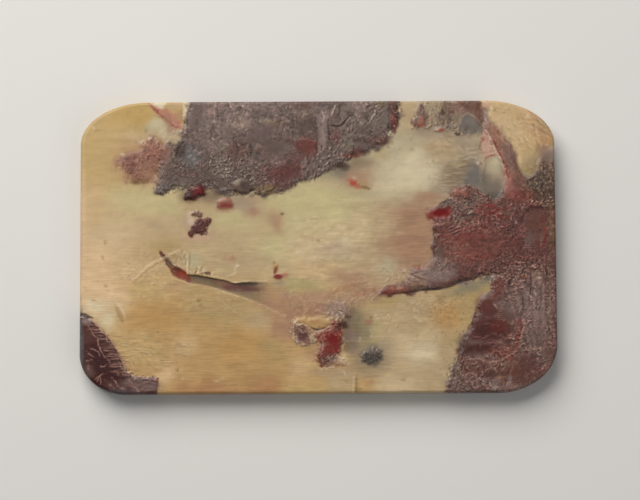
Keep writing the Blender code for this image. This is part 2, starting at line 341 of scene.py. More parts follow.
@dataclass
class Spot:
    """An oval patch of colour with an uneven edge, which may be raised or sunk a little."""

    x: float
    y: float
    wide: float
    high: float
    stone: Stone
    strength: float = 0.8
    soft: float = 0.5
    turn: float = 0.0
    lift: float = 0.0
    calm: float = 0.0

    def draw(self, sheet: Sheet) -> None:
        """Draw the patch on the sheet."""
        reach = max(self.wide, self.high) * 1.5
        where = sheet.window(np.array((self.x, self.y)), np.array((self.x, self.y)), reach)
        x, y = sheet.x[where], sheet.y[where]
        across, down = turned(x - self.x, y - self.y, self.turn)
        far = np.hypot(across / self.wide, down / self.high)
        grain = max(2.0, min(self.wide, self.high) * 0.7)
        far += 0.22 * clouds(x / grain, y / grain, seed=int(self.x), octaves=2)
        weight = ease((1 + self.soft / 2 - far) / self.soft)
        sheet.lay(where, weight * self.strength, self.stone)
        sheet.height[where] += weight * self.lift
        sheet.calm[where] = np.maximum(sheet.calm[where], weight * self.calm)


@dataclass
class Area:
    """A patch with a drawn outline: colour, edge and, where carved, its rise and the width of its wall."""

    outline: Points
    stone: Stone
    strength: float = 1.0
    soft: float = 1.6
    ragged: float = 1.0
    grain: float = 5.0
    rise: float | None = None
    wall: float = 1.5
    rock: float | None = None
    comb: float | None = None
    swirl: float = 70.0
    worn: float | None = None
    calm: float = 0.0

    def draw(self, sheet: Sheet) -> None:
        """Draw the patch on the sheet, raise or sink it, and comb its fine strokes one way."""
        where, depth = self.depth(sheet)
        sheet.lay(where, ease(depth / self.soft + 0.5) * self.strength, self.stone)
        if self.rise is not None:
            share = ease(depth / self.wall + 0.3)
            sheet.height[where] += (self.rise - sheet.height[where]) * share
        if self.rock is not None:
            sheet.rock[where] += (self.rock - sheet.rock[where]) * ease(depth / 4 + 0.4)
        if self.worn is not None:
            sheet.worn[where] += (self.worn - sheet.worn[where]) * ease(depth / 4 + 0.4)
        sheet.calm[where] = np.maximum(sheet.calm[where], self.calm * ease(depth / 3 + 0.3))
        if self.comb is not None:
            x, y = sheet.x[where], sheet.y[where]
            turn = self.comb + self.swirl * clouds(x / 15, y / 15, 61, octaves=2)
            sheet.turn[where] += (turn - sheet.turn[where]) * ease(depth / 4 + 0.4)

    def depth(self, sheet: Sheet) -> tuple[tuple[slice, slice], np.ndarray]:
        """Return the part of the sheet that the patch covers, and how deep each place lies inside it."""
        loop = smooth_line(self.outline, closed=True)
        where = sheet.window(loop.min(axis=0), loop.max(axis=0), 6)
        x, y = sheet.x[where], sheet.y[where]
        depth = depth_inside(x, y, loop)
        seed = int(loop[0].sum())
        return where, depth + self.ragged * clouds(x / self.grain, y / self.grain, seed, octaves=4)


@dataclass
class Stroke:
    """A line cut in or left standing: its points, width, colour and rise."""

    points: Points
    width: float
    stone: Stone
    strength: float = 0.8
    lift: float = 0.0
    taper: bool = True
    waver: float = 0.5

    def draw(self, sheet: Sheet) -> None:
        """Draw the line on the sheet."""
        path = smooth_line(self.points, closed=False, step=2.5)
        where = sheet.window(path.min(axis=0), path.max(axis=0), 2 * self.width + 2)
        x, y = sheet.x[where], sheet.y[where]
        seed = int(path[0].sum())
        gap, along = nearest_on(
            x + self.waver * clouds(x / 3, y / 3, seed), y + self.waver * clouds(x / 3, y / 3, seed + 1), path
        )
        width = self.width * (np.sqrt(np.clip(np.sin(math.pi * along), 0.08, 1)) if self.taper else 1)
        weight = ease(1.25 - gap / width)
        sheet.lay(where, weight * self.strength, self.stone)
        sheet.height[where] += weight * self.lift


@dataclass
class Crags:
    """Broken rock inside an outline: ridges and crevices, with painted highlight on the ridges and painted
    shade in the crevices.
    """

    outline: Points
    size: float
    stretch: float
    turn: float
    lift: float
    light: Stone
    dark: Stone
    strength: float = 0.4
    contrast: float = 0.3
    seed: int = 1
    edge: float = 4.0

    def draw(self, sheet: Sheet) -> None:
        """Draw the rock on the sheet."""
        where, depth = Area(self.outline, self.light).depth(sheet)
        inside = ease(depth / self.edge) * (1 - sheet.calm[where])
        x, y = sheet.x[where], sheet.y[where]
        patch = 0.45 + 0.55 * ease(0.5 + 0.8 * clouds(x / 15, y / 15, self.seed + 9, octaves=2))
        x = x + 2.2 * clouds(x / 9, y / 9, self.seed + 5, octaves=3)
        y = y + 2.2 * clouds(x / 9, y / 9, self.seed + 6, octaves=3)
        along, aside = turned(x, y, self.turn)
        along, aside = along / (self.size * self.stretch), aside / self.size
        ridge = 1 - 2 * np.abs(clouds(along, aside, self.seed))
        fine = 1 - 2 * np.abs(clouds(along * 2.3, aside * 2.3, self.seed + 1))
        shape = (0.6 * ridge + 0.4 * fine - 0.15) * patch
        sheet.height[where] += inside * self.lift * shape
        # Painted highlight and shade: ridges lightened and laid in the light colour, crevices darkened and
        # laid in the dark one
        sheet.shade(where, inside * self.contrast * shape)
        sheet.lay(where, inside * self.strength * ease((shape - 0.3) * 2), self.light)
        sheet.lay(where, inside * self.strength * ease(-shape * 2), self.dark)


@dataclass
class Bands:
    """Wavy seams of colour inside an outline, as stone that was laid down in water shows them."""

    outline: Points
    pitch: float
    turn: float
    light: Stone
    dark: Stone
    strength: float = 0.5
    lift: float = 0.05
    sway: float = 1.6
    seed: int = 1
    edge: float = 5.0

    def draw(self, sheet: Sheet) -> None:
        """Draw the seams on the sheet."""
        where, depth = Area(self.outline, self.light).depth(sheet)
        inside = ease(depth / self.edge)
        x, y = sheet.x[where], sheet.y[where]
        _, aside = turned(x, y, self.turn)
        across = aside / self.pitch + self.sway * clouds(x / 26, y / 20, self.seed, octaves=3)
        wave = np.sin(2 * math.pi * across)
        patch = ease(0.5 + 0.9 * clouds(x / 17, y / 13, self.seed + 4, octaves=2))
        sheet.lay(where, inside * self.strength * patch * ease(wave * 1.6 - 0.3), self.light)
        sheet.lay(where, inside * self.strength * (1.1 - patch) * ease(-wave * 1.8 - 0.5), self.dark)
        sheet.height[where] += inside * self.lift * wave * patch


@dataclass
class Leaves:
    """Small curved cuts over an outline, as foliage or chipped rock: light ridges beside dark hollows, with
    painted highlight on the ridges and painted shade in the hollows.
    """

    outline: Points
    step: float
    length: float
    width: float
    turn: float
    spread: float
    lift: float
    light: Stone
    dark: Stone
    strength: float = 0.5
    contrast: float = 0.3
    curve: float = 0.12
    seed: int = 1
    pits: float = 0.25
    drift: float = 70.0
    quiet: float = 0.3

    def draw(self, sheet: Sheet) -> None:
        """Draw the leaves on the sheet, thick in some patches and thin in others."""
        dice = np.random.default_rng(self.seed)
        loop = smooth_line(self.outline, closed=True)
        low, high = loop.min(axis=0), loop.max(axis=0)
        x, y = np.meshgrid(*(np.arange(a, b, self.step) for a, b in zip(low, high)))
        x = (x + dice.uniform(-0.6, 0.6, x.shape) * self.step).ravel()
        y = (y + dice.uniform(-0.6, 0.6, y.shape) * self.step).ravel()
        kept = depth_inside(x, y, loop) > 1.5 * clouds(x / 4, y / 4, self.seed + 1)
        x, y = x[kept], y[kept]
        forces = self.quiet + (1 - self.quiet) * ease(0.5 + 0.9 * clouds(x / 13, y / 11, self.seed + 2))
        forces = forces * (1 - sheet.read(sheet.calm, np.column_stack((x, y))))
        turns = self.turn + self.drift * clouds(x / 13, y / 13, self.seed + 3)
        for centre, force, turn in zip(np.column_stack((x, y)), forces, turns):
            self.draw_leaf(sheet, centre, force, turn + dice.normal() * self.spread, dice)

    def draw_leaf(self, sheet: Sheet, centre: np.ndarray, force: float, turn: float,
                  dice: np.random.Generator) -> None:
        """Draw one leaf.

        Args:
            sheet: The drawing.
            centre: The leaf's place.
            force: How strongly it is cut, up to 1.
            turn: Its direction in degrees.
            dice: Where its chances come from.
        """
        size = dice.uniform(0.5, 1.3)
        length, width = self.length * size, self.width * dice.uniform(0.7, 1.25)
        curve = self.curve * dice.choice((-1, 1))
        where = sheet.window(centre, centre, length + 1.5 * width)
        x, y = sheet.x[where] - centre[0], sheet.y[where] - centre[1]
        along, aside = turned(x, y, turn)
        aside = aside - curve * along ** 2 / self.width
        ends = np.exp(-2 * (along / length) ** 2)
        ridge = ends * np.exp(-2 * (aside / width) ** 2)
        hollow = ends * np.exp(-2 * ((aside - 1.5 * width) / width) ** 2)
        force = force * dice.uniform(0.35, 1.0)
        sheet.height[where] += self.lift * force * (ridge - 0.8 * hollow)
        # Painted highlight and shade: the ridge is lightened and laid in the light colour, the hollow
        # darkened and laid in the dark one
        sheet.shade(where, self.contrast * force * (ridge - hollow))
        sheet.lay(where, ridge * self.strength * force, self.light)
        sheet.lay(where, hollow * self.strength * force, self.dark)
        # Painted shade: a dark dot in a small sunk pit
        if dice.random() < self.pits * min(1.0, 3 * force):
            away = dice.normal(size=2) * self.step * 0.6
            pit = np.exp(-2 * ((x - away[0]) ** 2 + (y - away[1]) ** 2) / dice.uniform(0.6, 1.3) ** 2)
            sheet.lay(where, pit * dice.uniform(0.3, 0.8), self.dark)
            sheet.height[where] -= 0.1 * pit


@dataclass
class Specks:
    """Tiny pits and flecks strewn over an outline."""

    outline: Points
    count: int
    stone: Stone
    strength: float = 0.5
    size: float = 1.0
    lift: float = 0.0
    seed: int = 1

    def draw(self, sheet: Sheet) -> None:
        """Draw the specks on the sheet."""
        dice = np.random.default_rng(self.seed)
        loop = smooth_line(self.outline, closed=True)
        x, y = dice.uniform(loop.min(axis=0), loop.max(axis=0), (self.count, 2)).T
        kept = depth_inside(x, y, loop) > 0
        for centre in np.column_stack((x, y))[kept]:
            where = sheet.window(centre, centre, 3 * self.size)
            flat = dice.uniform(0.5, 1.0)
            far = np.hypot((sheet.x[where] - centre[0]) * flat, sheet.y[where] - centre[1])
            dot = np.exp(-2 * (far / (self.size * dice.uniform(0.5, 1.2))) ** 2)
            sheet.lay(where, dot * self.strength * dice.uniform(0.3, 1.0), self.stone)
            sheet.height[where] += dot * self.lift


@dataclass
class Ground:
    """Smooth honey and cream stone between the masses, with soft clouds of colour and fine tool lines."""

    stains: Sequence[Stain] = (
        Stain(100, 160, 60, 60, Stone.HONEY, 0.25), Stain(110, 250, 60, 50, Stone.BISCUIT, 0.25),
        Stain(200, 230, 60, 40, Stone.SAND, 0.2), Stain(180, 350, 90, 50, Stone.TAN, 0.3),
        Stain(300, 350, 60, 50, Stone.TAN, 0.25), Stain(320, 230, 60, 40, Stone.OLIVE_CREAM, 0.25),
        Stain(400, 170, 50, 40, Stone.GREY_CREAM, 0.3), Stain(400, 240, 40, 30, Stone.ROSE_TAN, 0.25),
        Stain(410, 340, 60, 50, Stone.SAND, 0.3), Stain(104, 140, 28, 24, Stone.HONEY),
        Stain(134, 115, 17, 11, Stone.OCHRE, 1.7), Stain(164, 126, 13, 10, Stone.GREY_CREAM, 1.5),
        Stain(128, 137, 14, 5, Stone.CREAM, 0.8), Stain(100, 170, 22, 22, Stone.HONEY),
        Stain(92, 205, 16, 28, Stone.BISCUIT), Stain(132, 200, 28, 14, Stone.OLIVE_CREAM),
        Stain(170, 205, 20, 10, Stone.OLIVE_CREAM), Stain(112, 232, 30, 18, Stone.CREAM),
        Stain(150, 226, 20, 10, Stone.SAND), Stain(96, 270, 20, 24, Stone.PEACH),
        Stain(112, 297, 18, 12, Stone.PEACH), Stain(165, 249, 20, 9, Stone.OLIVE_TAN, 0.9),
        Stain(216, 242, 18, 14, Stone.SAND), Stain(230, 217, 16, 11, Stone.OLIVE_CREAM),
        Stain(150, 291, 22, 12, Stone.HONEY), Stain(98, 308, 10, 6, Stone.PALE_CREAM, 0.9),
        Stain(112, 322, 9, 8, Stone.PALE_CREAM, 0.9), Stain(155, 318, 24, 14, Stone.AMBER),
        Stain(140, 350, 22, 12, Stone.HONEY), Stain(184, 345, 9, 12, Stone.BISCUIT),
        Stain(168, 374, 10, 9, Stone.PEACH, 0.7), Stain(205, 360, 24, 14, Stone.TAN),
        Stain(207, 388, 20, 6, Stone.RUST_TAN, 1.4), Stain(240, 345, 22, 14, Stone.AMBER),
        Stain(264, 385, 18, 8, Stone.RUST_TAN, 1.4), Stain(222, 312, 30, 12, Stone.OLIVE_TAN),
        Stain(254, 322, 18, 10, Stone.SAND), Stain(284, 326, 10, 12, Stone.ROSE_TAN, 1.3),
        Stain(273, 350, 14, 10, Stone.OLIVE_TAN), Stain(304, 364, 14, 10, Stone.BISCUIT),
        Stain(300, 386, 18, 8, Stone.HONEY), Stain(338, 384, 14, 9, Stone.SAND),
        Stain(300, 204, 24, 9, Stone.OLIVE_CREAM, 1.4), Stain(335, 206, 18, 10, Stone.OLIVE_CREAM, 1.4),
        Stain(277, 222, 9, 10, Stone.ROSE_TAN, 0.5), Stain(273, 246, 10, 12, Stone.OLIVE_CREAM),
        Stain(320, 248, 26, 16, Stone.CREAM, 1.3), Stain(318, 267, 20, 9, Stone.BISCUIT),
        Stain(350, 232, 16, 14, Stone.CREAM), Stain(368, 252, 12, 11, Stone.SAND),
        Stain(345, 276, 16, 7, Stone.ROSE_TAN, 0.7), Stain(300, 284, 14, 6, Stone.OLIVE, 0.7),
        Stain(250, 262, 20, 9, Stone.SAND), Stain(406, 176, 26, 15, Stone.PALE_CREAM, 1.6),
        Stain(360, 177, 13, 9, Stone.ROSE_TAN, 1.1), Stain(386, 153, 13, 7, Stone.GREY_CREAM),
        Stain(414, 159, 10, 6, Stone.PALE_CREAM, 1.3), Stain(344, 172, 12, 6, Stone.ASH, 0.6),
        Stain(444, 150, 18, 10, Stone.SAND), Stain(450, 180, 13, 12, Stone.HULL_GREY),
        Stain(410, 216, 20, 11, Stone.ROSE_TAN, 1.3), Stain(384, 226, 14, 16, Stone.SAND),
        Stain(410, 246, 17, 11, Stone.ROSE_TAN, 1.2), Stain(390, 266, 12, 7, Stone.GREY_CREAM),
        Stain(386, 303, 13, 5, Stone.OLIVE_TAN), Stain(425, 304, 20, 6, Stone.SAND),
        Stain(468, 293, 18, 7, Stone.OLIVE_TAN), Stain(447, 316, 12, 11, Stone.AMBER, 2),
        Stain(398, 320, 26, 13, Stone.SAND), Stain(430, 337, 13, 8, Stone.CREAM),
        Stain(398, 346, 20, 11, Stone.CREAM), Stain(420, 351, 13, 10, Stone.PALE_CREAM),
        Stain(449, 350, 8, 14, Stone.SAND), Stain(395, 385, 22, 9, Stone.CREAM),
        Stain(430, 386, 14, 8, Stone.SAND), Stain(364, 386, 9, 7, Stone.TAN),
        Stain(354, 324, 7, 9, Stone.OLIVE_GREY, 1.2), Stain(374, 334, 8, 10, Stone.OLIVE, 0.9),
        Stain(408, 112, 9, 14, Stone.SAND, 1.2), Stain(432, 134, 18, 5, Stone.GREY_TAN),
        Stain(466, 144, 14, 7, Stone.GREY_TAN, 1.2), Stain(475, 178, 8, 11, Stone.SLATE, 1.1),
        Stain(460, 168, 10, 5, Stone.HULL_GREY, 1.2), Stain(494, 166, 7, 11, Stone.GREY_CREAM),
        Stain(494, 194, 7, 8, Stone.ASH), Stain(489, 143, 6, 8, Stone.PINK_LIGHT, 0.8),
        Stain(438, 192, 10, 6, Stone.GREY_TAN, 1.2), Stain(243, 205, 12, 7, Stone.GREY_TAN),
        Stain(210, 194, 10, 5, Stone.HULL_GREY), Stain(350, 336, 7, 8, Stone.GREY_TAN),
        Stain(360, 164, 9, 5, Stone.HULL_GREY, 0.9), Stain(428, 199, 9, 5, Stone.ROSE_TAN),
        Stain(404, 261, 9, 6, Stone.ROSE_TAN), Stain(269, 304, 9, 5, Stone.ROSE_TAN, 0.8),
        Stain(254, 213, 8, 5, Stone.ROSE_TAN, 0.7), Stain(340, 252, 26, 6, Stone.GREY_TAN, 0.5),
        Stain(345, 242, 10, 5, Stone.PALE_CREAM, 0.4),
    )
    warp: float = 6.0
    grain: float = 16.0

    def carve(self, sheet: Sheet) -> None:
        """Fill the sheet with the ground's clouds of colour and say where the tool lines show."""
        x = sheet.x + self.warp * clouds(sheet.x / self.grain, sheet.y / self.grain, 3, octaves=4)
        y = sheet.y + self.warp * 0.6 * clouds(sheet.x / self.grain, sheet.y / self.grain, 4, octaves=4)
        total, colour = np.full(x.shape, 1e-6), np.zeros(sheet.colour.shape)
        for stain in self.stains:
            far = ((x - stain.x) / stain.wide) ** 2 + ((y - stain.y) / stain.high) ** 2
            weight = stain.weight / (0.35 + far ** 2)
            total += weight
            colour += weight[..., None] * srgb(stain.stone.value)
        sheet.colour[:] = colour / total[..., None]
        everywhere = (slice(None), slice(None))
        sheet.shade(everywhere, 0.03 * clouds(sheet.x / 14, sheet.y / 5, 8, octaves=4))
        lower = ease((sheet.y - 215) / 60) * (1 - 0.6 * ease((sheet.x - 430) / 40))
        right = ease((sheet.x - 315) / 25) * ease((sheet.y - 190) / 20) * ease((300 - sheet.y) / 20)
        sheet.ripple[:] = np.clip(0.22 + 0.78 * np.maximum(lower, right), 0, 1)
        broad = clouds(sheet.x / 22, sheet.y / 2.6, 21, octaves=2)
        fine = clouds(sheet.x / 13 + 0.8 * broad, sheet.y / 1.3, 22)
        patch = 0.35 + 0.65 * ease(0.5 + 0.8 * clouds(sheet.x / 30, sheet.y / 14, 23))
        sheet.shade(everywhere, sheet.ripple * patch * (0.02 * broad + 0.025 * fine))
        swell = clouds(sheet.x / 30, sheet.y / 12, 12, octaves=2)
        sheet.height += 0.02 * swell + 0.012 * sheet.ripple * patch * fine
        brushed = ((112, 326), (132, 330), (176, 336), (186, 352), (176, 368), (130, 374), (120, 352))
        scraped = (
            (124, 258), (160, 250), (190, 266), (240, 300), (262, 316), (200, 330), (132, 320), (118, 290),
        )
        ruled = ((428, 150), (474, 152), (482, 176), (440, 196), (404, 206), (392, 190))
        combed = ((brushed, 0, 8, 0.5), (scraped, 4, 50, 0.22), (ruled, -2, 16, 0.2))
        for outline, turn, swirl, worn in combed:
            Area(outline, Stone.TAN, 0.0, comb=turn, swirl=swirl, worn=worn, ragged=6.0, grain=14).draw(sheet)
        for mark in self.marks():
            mark.draw(sheet)

    def marks(self) -> list:
        """Return the ground's small marks, from the top left round to the right."""
        light, dark = Stone.PALE_LIGHT, Stone.UMBER
        whole = ((86, 120), (180, 110), (400, 110), (480, 130), (470, 300), (450, 386), (110, 386), (84, 300))
        scratched = ((126, 262), (160, 252), (188, 256), (190, 286), (172, 300), (136, 296))
        below = ((176, 286), (210, 290), (240, 300), (262, 312), (200, 314), (172, 302))
        mottled = ((378, 318), (408, 300), (452, 296), (470, 300), (462, 330), (440, 344), (400, 338))
        scribbled = ((430, 300), (472, 290), (474, 316), (462, 346), (440, 346), (432, 320))
        streaked = ((430, 140), (480, 142), (486, 196), (446, 196), (430, 170))
        shelf = ((378, 268), (396, 264), (412, 262), (410, 282), (392, 284), (378, 280))
        centre = ((286, 222), (352, 218), (396, 226), (398, 262), (372, 282), (330, 284), (284, 276))
        brushed = (
            (104, 322), (124, 328), (160, 334), (186, 344), (176, 362), (144, 374), (128, 368), (116, 344),
        )
        return [
            Specks(whole, 420, dark, 0.35, 0.8, -0.02, 301), Specks(whole, 260, light, 0.35, 0.7, 0, 302),
            Leaves(scratched, 3.4, 3.2, 0.8, -32, 23, 0.012, light, Stone.ROSE_TAN, 0.26, 0.05, 0.08, 303,
                   0.1, 30),
            Leaves(below, 3.6, 4.4, 0.8, 6, 10, 0.01, light, Stone.OLIVE_TAN, 0.24, 0.05, 0.05, 304, 0.1, 8),
            Leaves(mottled, 4.4, 4.4, 1.08, -10, 24, 0.0175, Stone.PALE_CREAM, Stone.RUST_TAN, 0.3, 0.06, 0.2,
                   305, 0.2),
            Leaves(scribbled, 3.6, 3, 0.84, -30, 36, 0.02, Stone.CREAM, dark, 0.3, 0.08, 0.25, 306, 0.35),
            Bands(streaked, 8.5, 0, Stone.SAND, Stone.HULL_GREY, 0.24, 0.012, 0.7, 310, 9),
            Leaves(streaked, 4, 7.5, 0.72, 0, 3, 0.012, light, Stone.HULL_GREY, 0.3, 0.06, 0.02, 307, 0.05,
                   4),
            Leaves(shelf, 3, 2.2, 0.96, -20, 30, 0.025, light, Stone.ROSE_TAN, 0.5, 0.1, 0.2, 308, 0.3),
            Leaves(centre, 4.2, 7, 0.72, 0, 4, 0.008, light, Stone.OLIVE_TAN, 0.22, 0.05, 0.02, 309, 0.02, 4),
            Leaves(brushed, 3.6, 6.5, 0.7, 0, 3, 0.012, Stone.PALE_CREAM, Stone.UMBER, 0.34, 0.08, 0.02, 311,
                   0.05, 5), Stroke(((100, 146), (114, 145), (128, 145)), 0.9, Stone.CREAM, 0.45),
            Stroke(((92, 126), (96, 129)), 0.8, light), Spot(162, 133, 3, 7, Stone.PALE_CREAM, 0.45, 0.9),
            # The long narrow spots at x 82 to 83 are painted highlight along the rounded left edge
            Spot(146, 131, 1.5, 1.5, dark, 0.4), Spot(83, 215, 3, 46, Stone.PEACH, 0.4, 1),
            Spot(82.5, 135, 2, 25, Stone.OLIVE_CREAM, 0.3, 1),
            Spot(82, 245, 2, 26, Stone.PINK_LIGHT, 0.35, 1),
            Stroke(((114, 300), (120, 306), (124, 313), (126, 320)), 1, light, 0.5, 0.04),
            Stroke(((115, 306), (118, 311), (121, 318), (123, 324)), 2.6, dark, 0.32, -0.08),
            Spot(103, 258, 1.3, 2.2, dark, 0.35), Spot(105, 243, 1.2, 2, dark, 0.3),
            Spot(106, 286, 2, 1.4, dark, 0.3), Spot(94, 301, 1.6, 1.2, dark, 0.4),
            Spot(199, 301, 2.4, 1.4, dark, 0.6), Spot(201, 305, 2, 1.2, dark, 0.35),
            Spot(178, 370, 1.3, 2, dark, 0.5), Spot(183, 379, 1.2, 0.8, light, 0.5),
            Spot(133, 374, 1.4, 1.2, dark, 0.6), Spot(282, 214, 1.6, 1.2, Stone.SHADOW, 0.6),
            Spot(318, 241, 1.6, 1.6, dark, 0.35), Spot(330, 247, 12, 2.5, Stone.MAUVE_GREY, 0.3, 1, -10),
            Spot(307, 238, 8, 3, Stone.ROSE_TAN, 0.25, 1, 15),
            Spot(280, 221, 6, 8, Stone.ROSE_TAN, 0.25, 1.2), Spot(340, 262, 14, 2, Stone.UMBER, 0.15, 1.2, 4),
            Stroke(((213, 382), (219, 380), (225, 377)), 0.9, light, 0.35),
            Stroke(((353.8, 376), (353.6, 385), (353.5, 394)), 1.1, Stone.CREAM, 0.7, 0.03, False, 0.2),
            Stroke(((356.4, 378), (356.2, 394)), 1.5, Stone.UMBER, 0.4, -0.05, False, 0.3),
            Spot(358, 389, 4, 2.4, Stone.UMBER, 0.35, 0.8), Spot(348, 386.5, 1.4, 1, light, 0.35),
            Spot(361, 386, 1.4, 1, light, 0.3), Spot(370, 382, 5, 2, Stone.RUST_TAN, 0.5, 0.8, -30),
            Spot(345, 381, 4, 1, dark, 0.35, 0.8), Spot(373, 381, 2.5, 0.8, light, 0.3),
            Stroke(((398, 162), (408, 162.5), (420, 162)), 0.9, light, 0.35),
            Spot(412, 149.5, 1.8, 1.2, dark, 0.3), Spot(388, 147, 2, 1.6, dark, 0.3),
            Stroke(((448, 163), (456, 166), (467, 163)), 1.7, Stone.OLIVE, 0.6, -0.05),
            Stroke(((458, 168), (468, 166), (478, 168)), 1.2, Stone.BARK, 0.4, -0.05),
            Stroke(((462, 160), (472, 157), (480, 160)), 1, light, 0.35, 0.04),
            Spot(478, 163.5, 2.6, 1.4, light, 0.5, 0.6, 30, 0.08),
            Spot(480.6, 163.5, 1.3, 1.6, Stone.CRIMSON, 0.6), Spot(475, 176, 7, 8, Stone.SLATE, 0.5, 1.2),
            Spot(477, 186, 6, 5, Stone.ASH, 0.35, 1.2),
            Spot(470, 287, 15, 5, Stone.OLIVE_GREY, 0.85, 1.2, -12),
            # The bark and umber spots at x 346 to 351 are painted shadow at the red rock's right side
            Spot(485, 178, 4, 12, Stone.SLATE, 0.5, 1.2), Spot(346, 320, 5, 6, Stone.BARK, 0.45, 1.2),
            Spot(348, 334, 4, 6, Stone.BARK, 0.5, 1.2), Spot(364, 330, 8, 9, Stone.OLIVE_GREY, 0.35, 1.2),
            Spot(351, 346, 5, 5, Stone.UMBER, 0.3, 1.2), Spot(452, 294, 12, 4, Stone.OLIVE_GREY, 0.3, 1.2),
            Spot(486, 280, 6, 3, Stone.SLATE, 0.5, 1, -20), Spot(362, 186, 8, 3, Stone.ROSE_TAN, 0.5, 1.2),
            Spot(176, 287, 12, 5, Stone.ROSE_TAN, 0.3, 1.2), Spot(172, 126, 7, 9, Stone.ROSE_TAN, 0.75, 1.2),
            Spot(449, 339, 9, 7, Stone.OLIVE_TAN, 0.5, 1.2), Spot(465, 314, 8, 12, Stone.OLIVE_TAN, 0.5, 1.2),
            Spot(361, 186, 8, 5, Stone.OLIVE_TAN, 0.5, 1.2), Spot(380, 154, 8, 6, Stone.OLIVE_TAN, 0.4, 1.2),
            Spot(188, 223, 7, 6, Stone.GREY_TAN, 0.5, 1.2), Spot(460, 143, 9, 6, Stone.GREY_TAN, 0.5, 1.2),
            # The bark and umber spots at x 350 and 362 are painted shadow at the red rock's right side
            Spot(488, 166, 8, 12, Stone.GREY_TAN, 0.5, 1.2), Spot(350, 336, 8, 15, Stone.BARK, 0.4, 1.2),
            Spot(362, 326, 9, 16, Stone.UMBER, 0.25, 1.2), Spot(156, 122, 6, 4, Stone.PALE_CREAM, 0.35, 1.2),
            Spot(462, 190, 10, 4, Stone.ASH, 0.35, 1.2),
            Spot(354, 184, 6, 2.8, Stone.BRIGHT_RED, 0.75, 0.8, 28),
            Spot(358, 186, 4, 1.8, Stone.TERRACOTTA, 0.6, 0.6, 28),
            Spot(366, 188, 5, 1.6, Stone.UMBER, 0.8, 0.7, 12), Spot(354, 178, 2.5, 1.2, light, 0.3, 1),
            Spot(338, 172, 12, 4, Stone.OLIVE_GREY, 0.5, 1.2, -20),
            Spot(345, 168, 5, 3, Stone.SHADOW, 0.5, 1, -20), Spot(322, 182, 16, 5, Stone.SAND, 0.3, 1.2),
            Spot(434, 146, 14, 4, Stone.RUST_TAN, 0.18, 1.2), Spot(404, 380, 3, 0.8, dark, 0.35),
            Spot(448, 320, 10, 12, Stone.RUST_TAN, 0.25, 1.2), Spot(440, 300, 6, 4, Stone.UMBER, 0.25, 1),
            Spot(233, 259, 3, 3, Stone.TERRACOTTA, 0.45, 1), Spot(226, 259, 5, 4, Stone.ROSE_TAN, 0.35, 1.2),
            Spot(220, 271, 5, 2, Stone.OLIVE_CREAM, 0.5, 1),
        ]


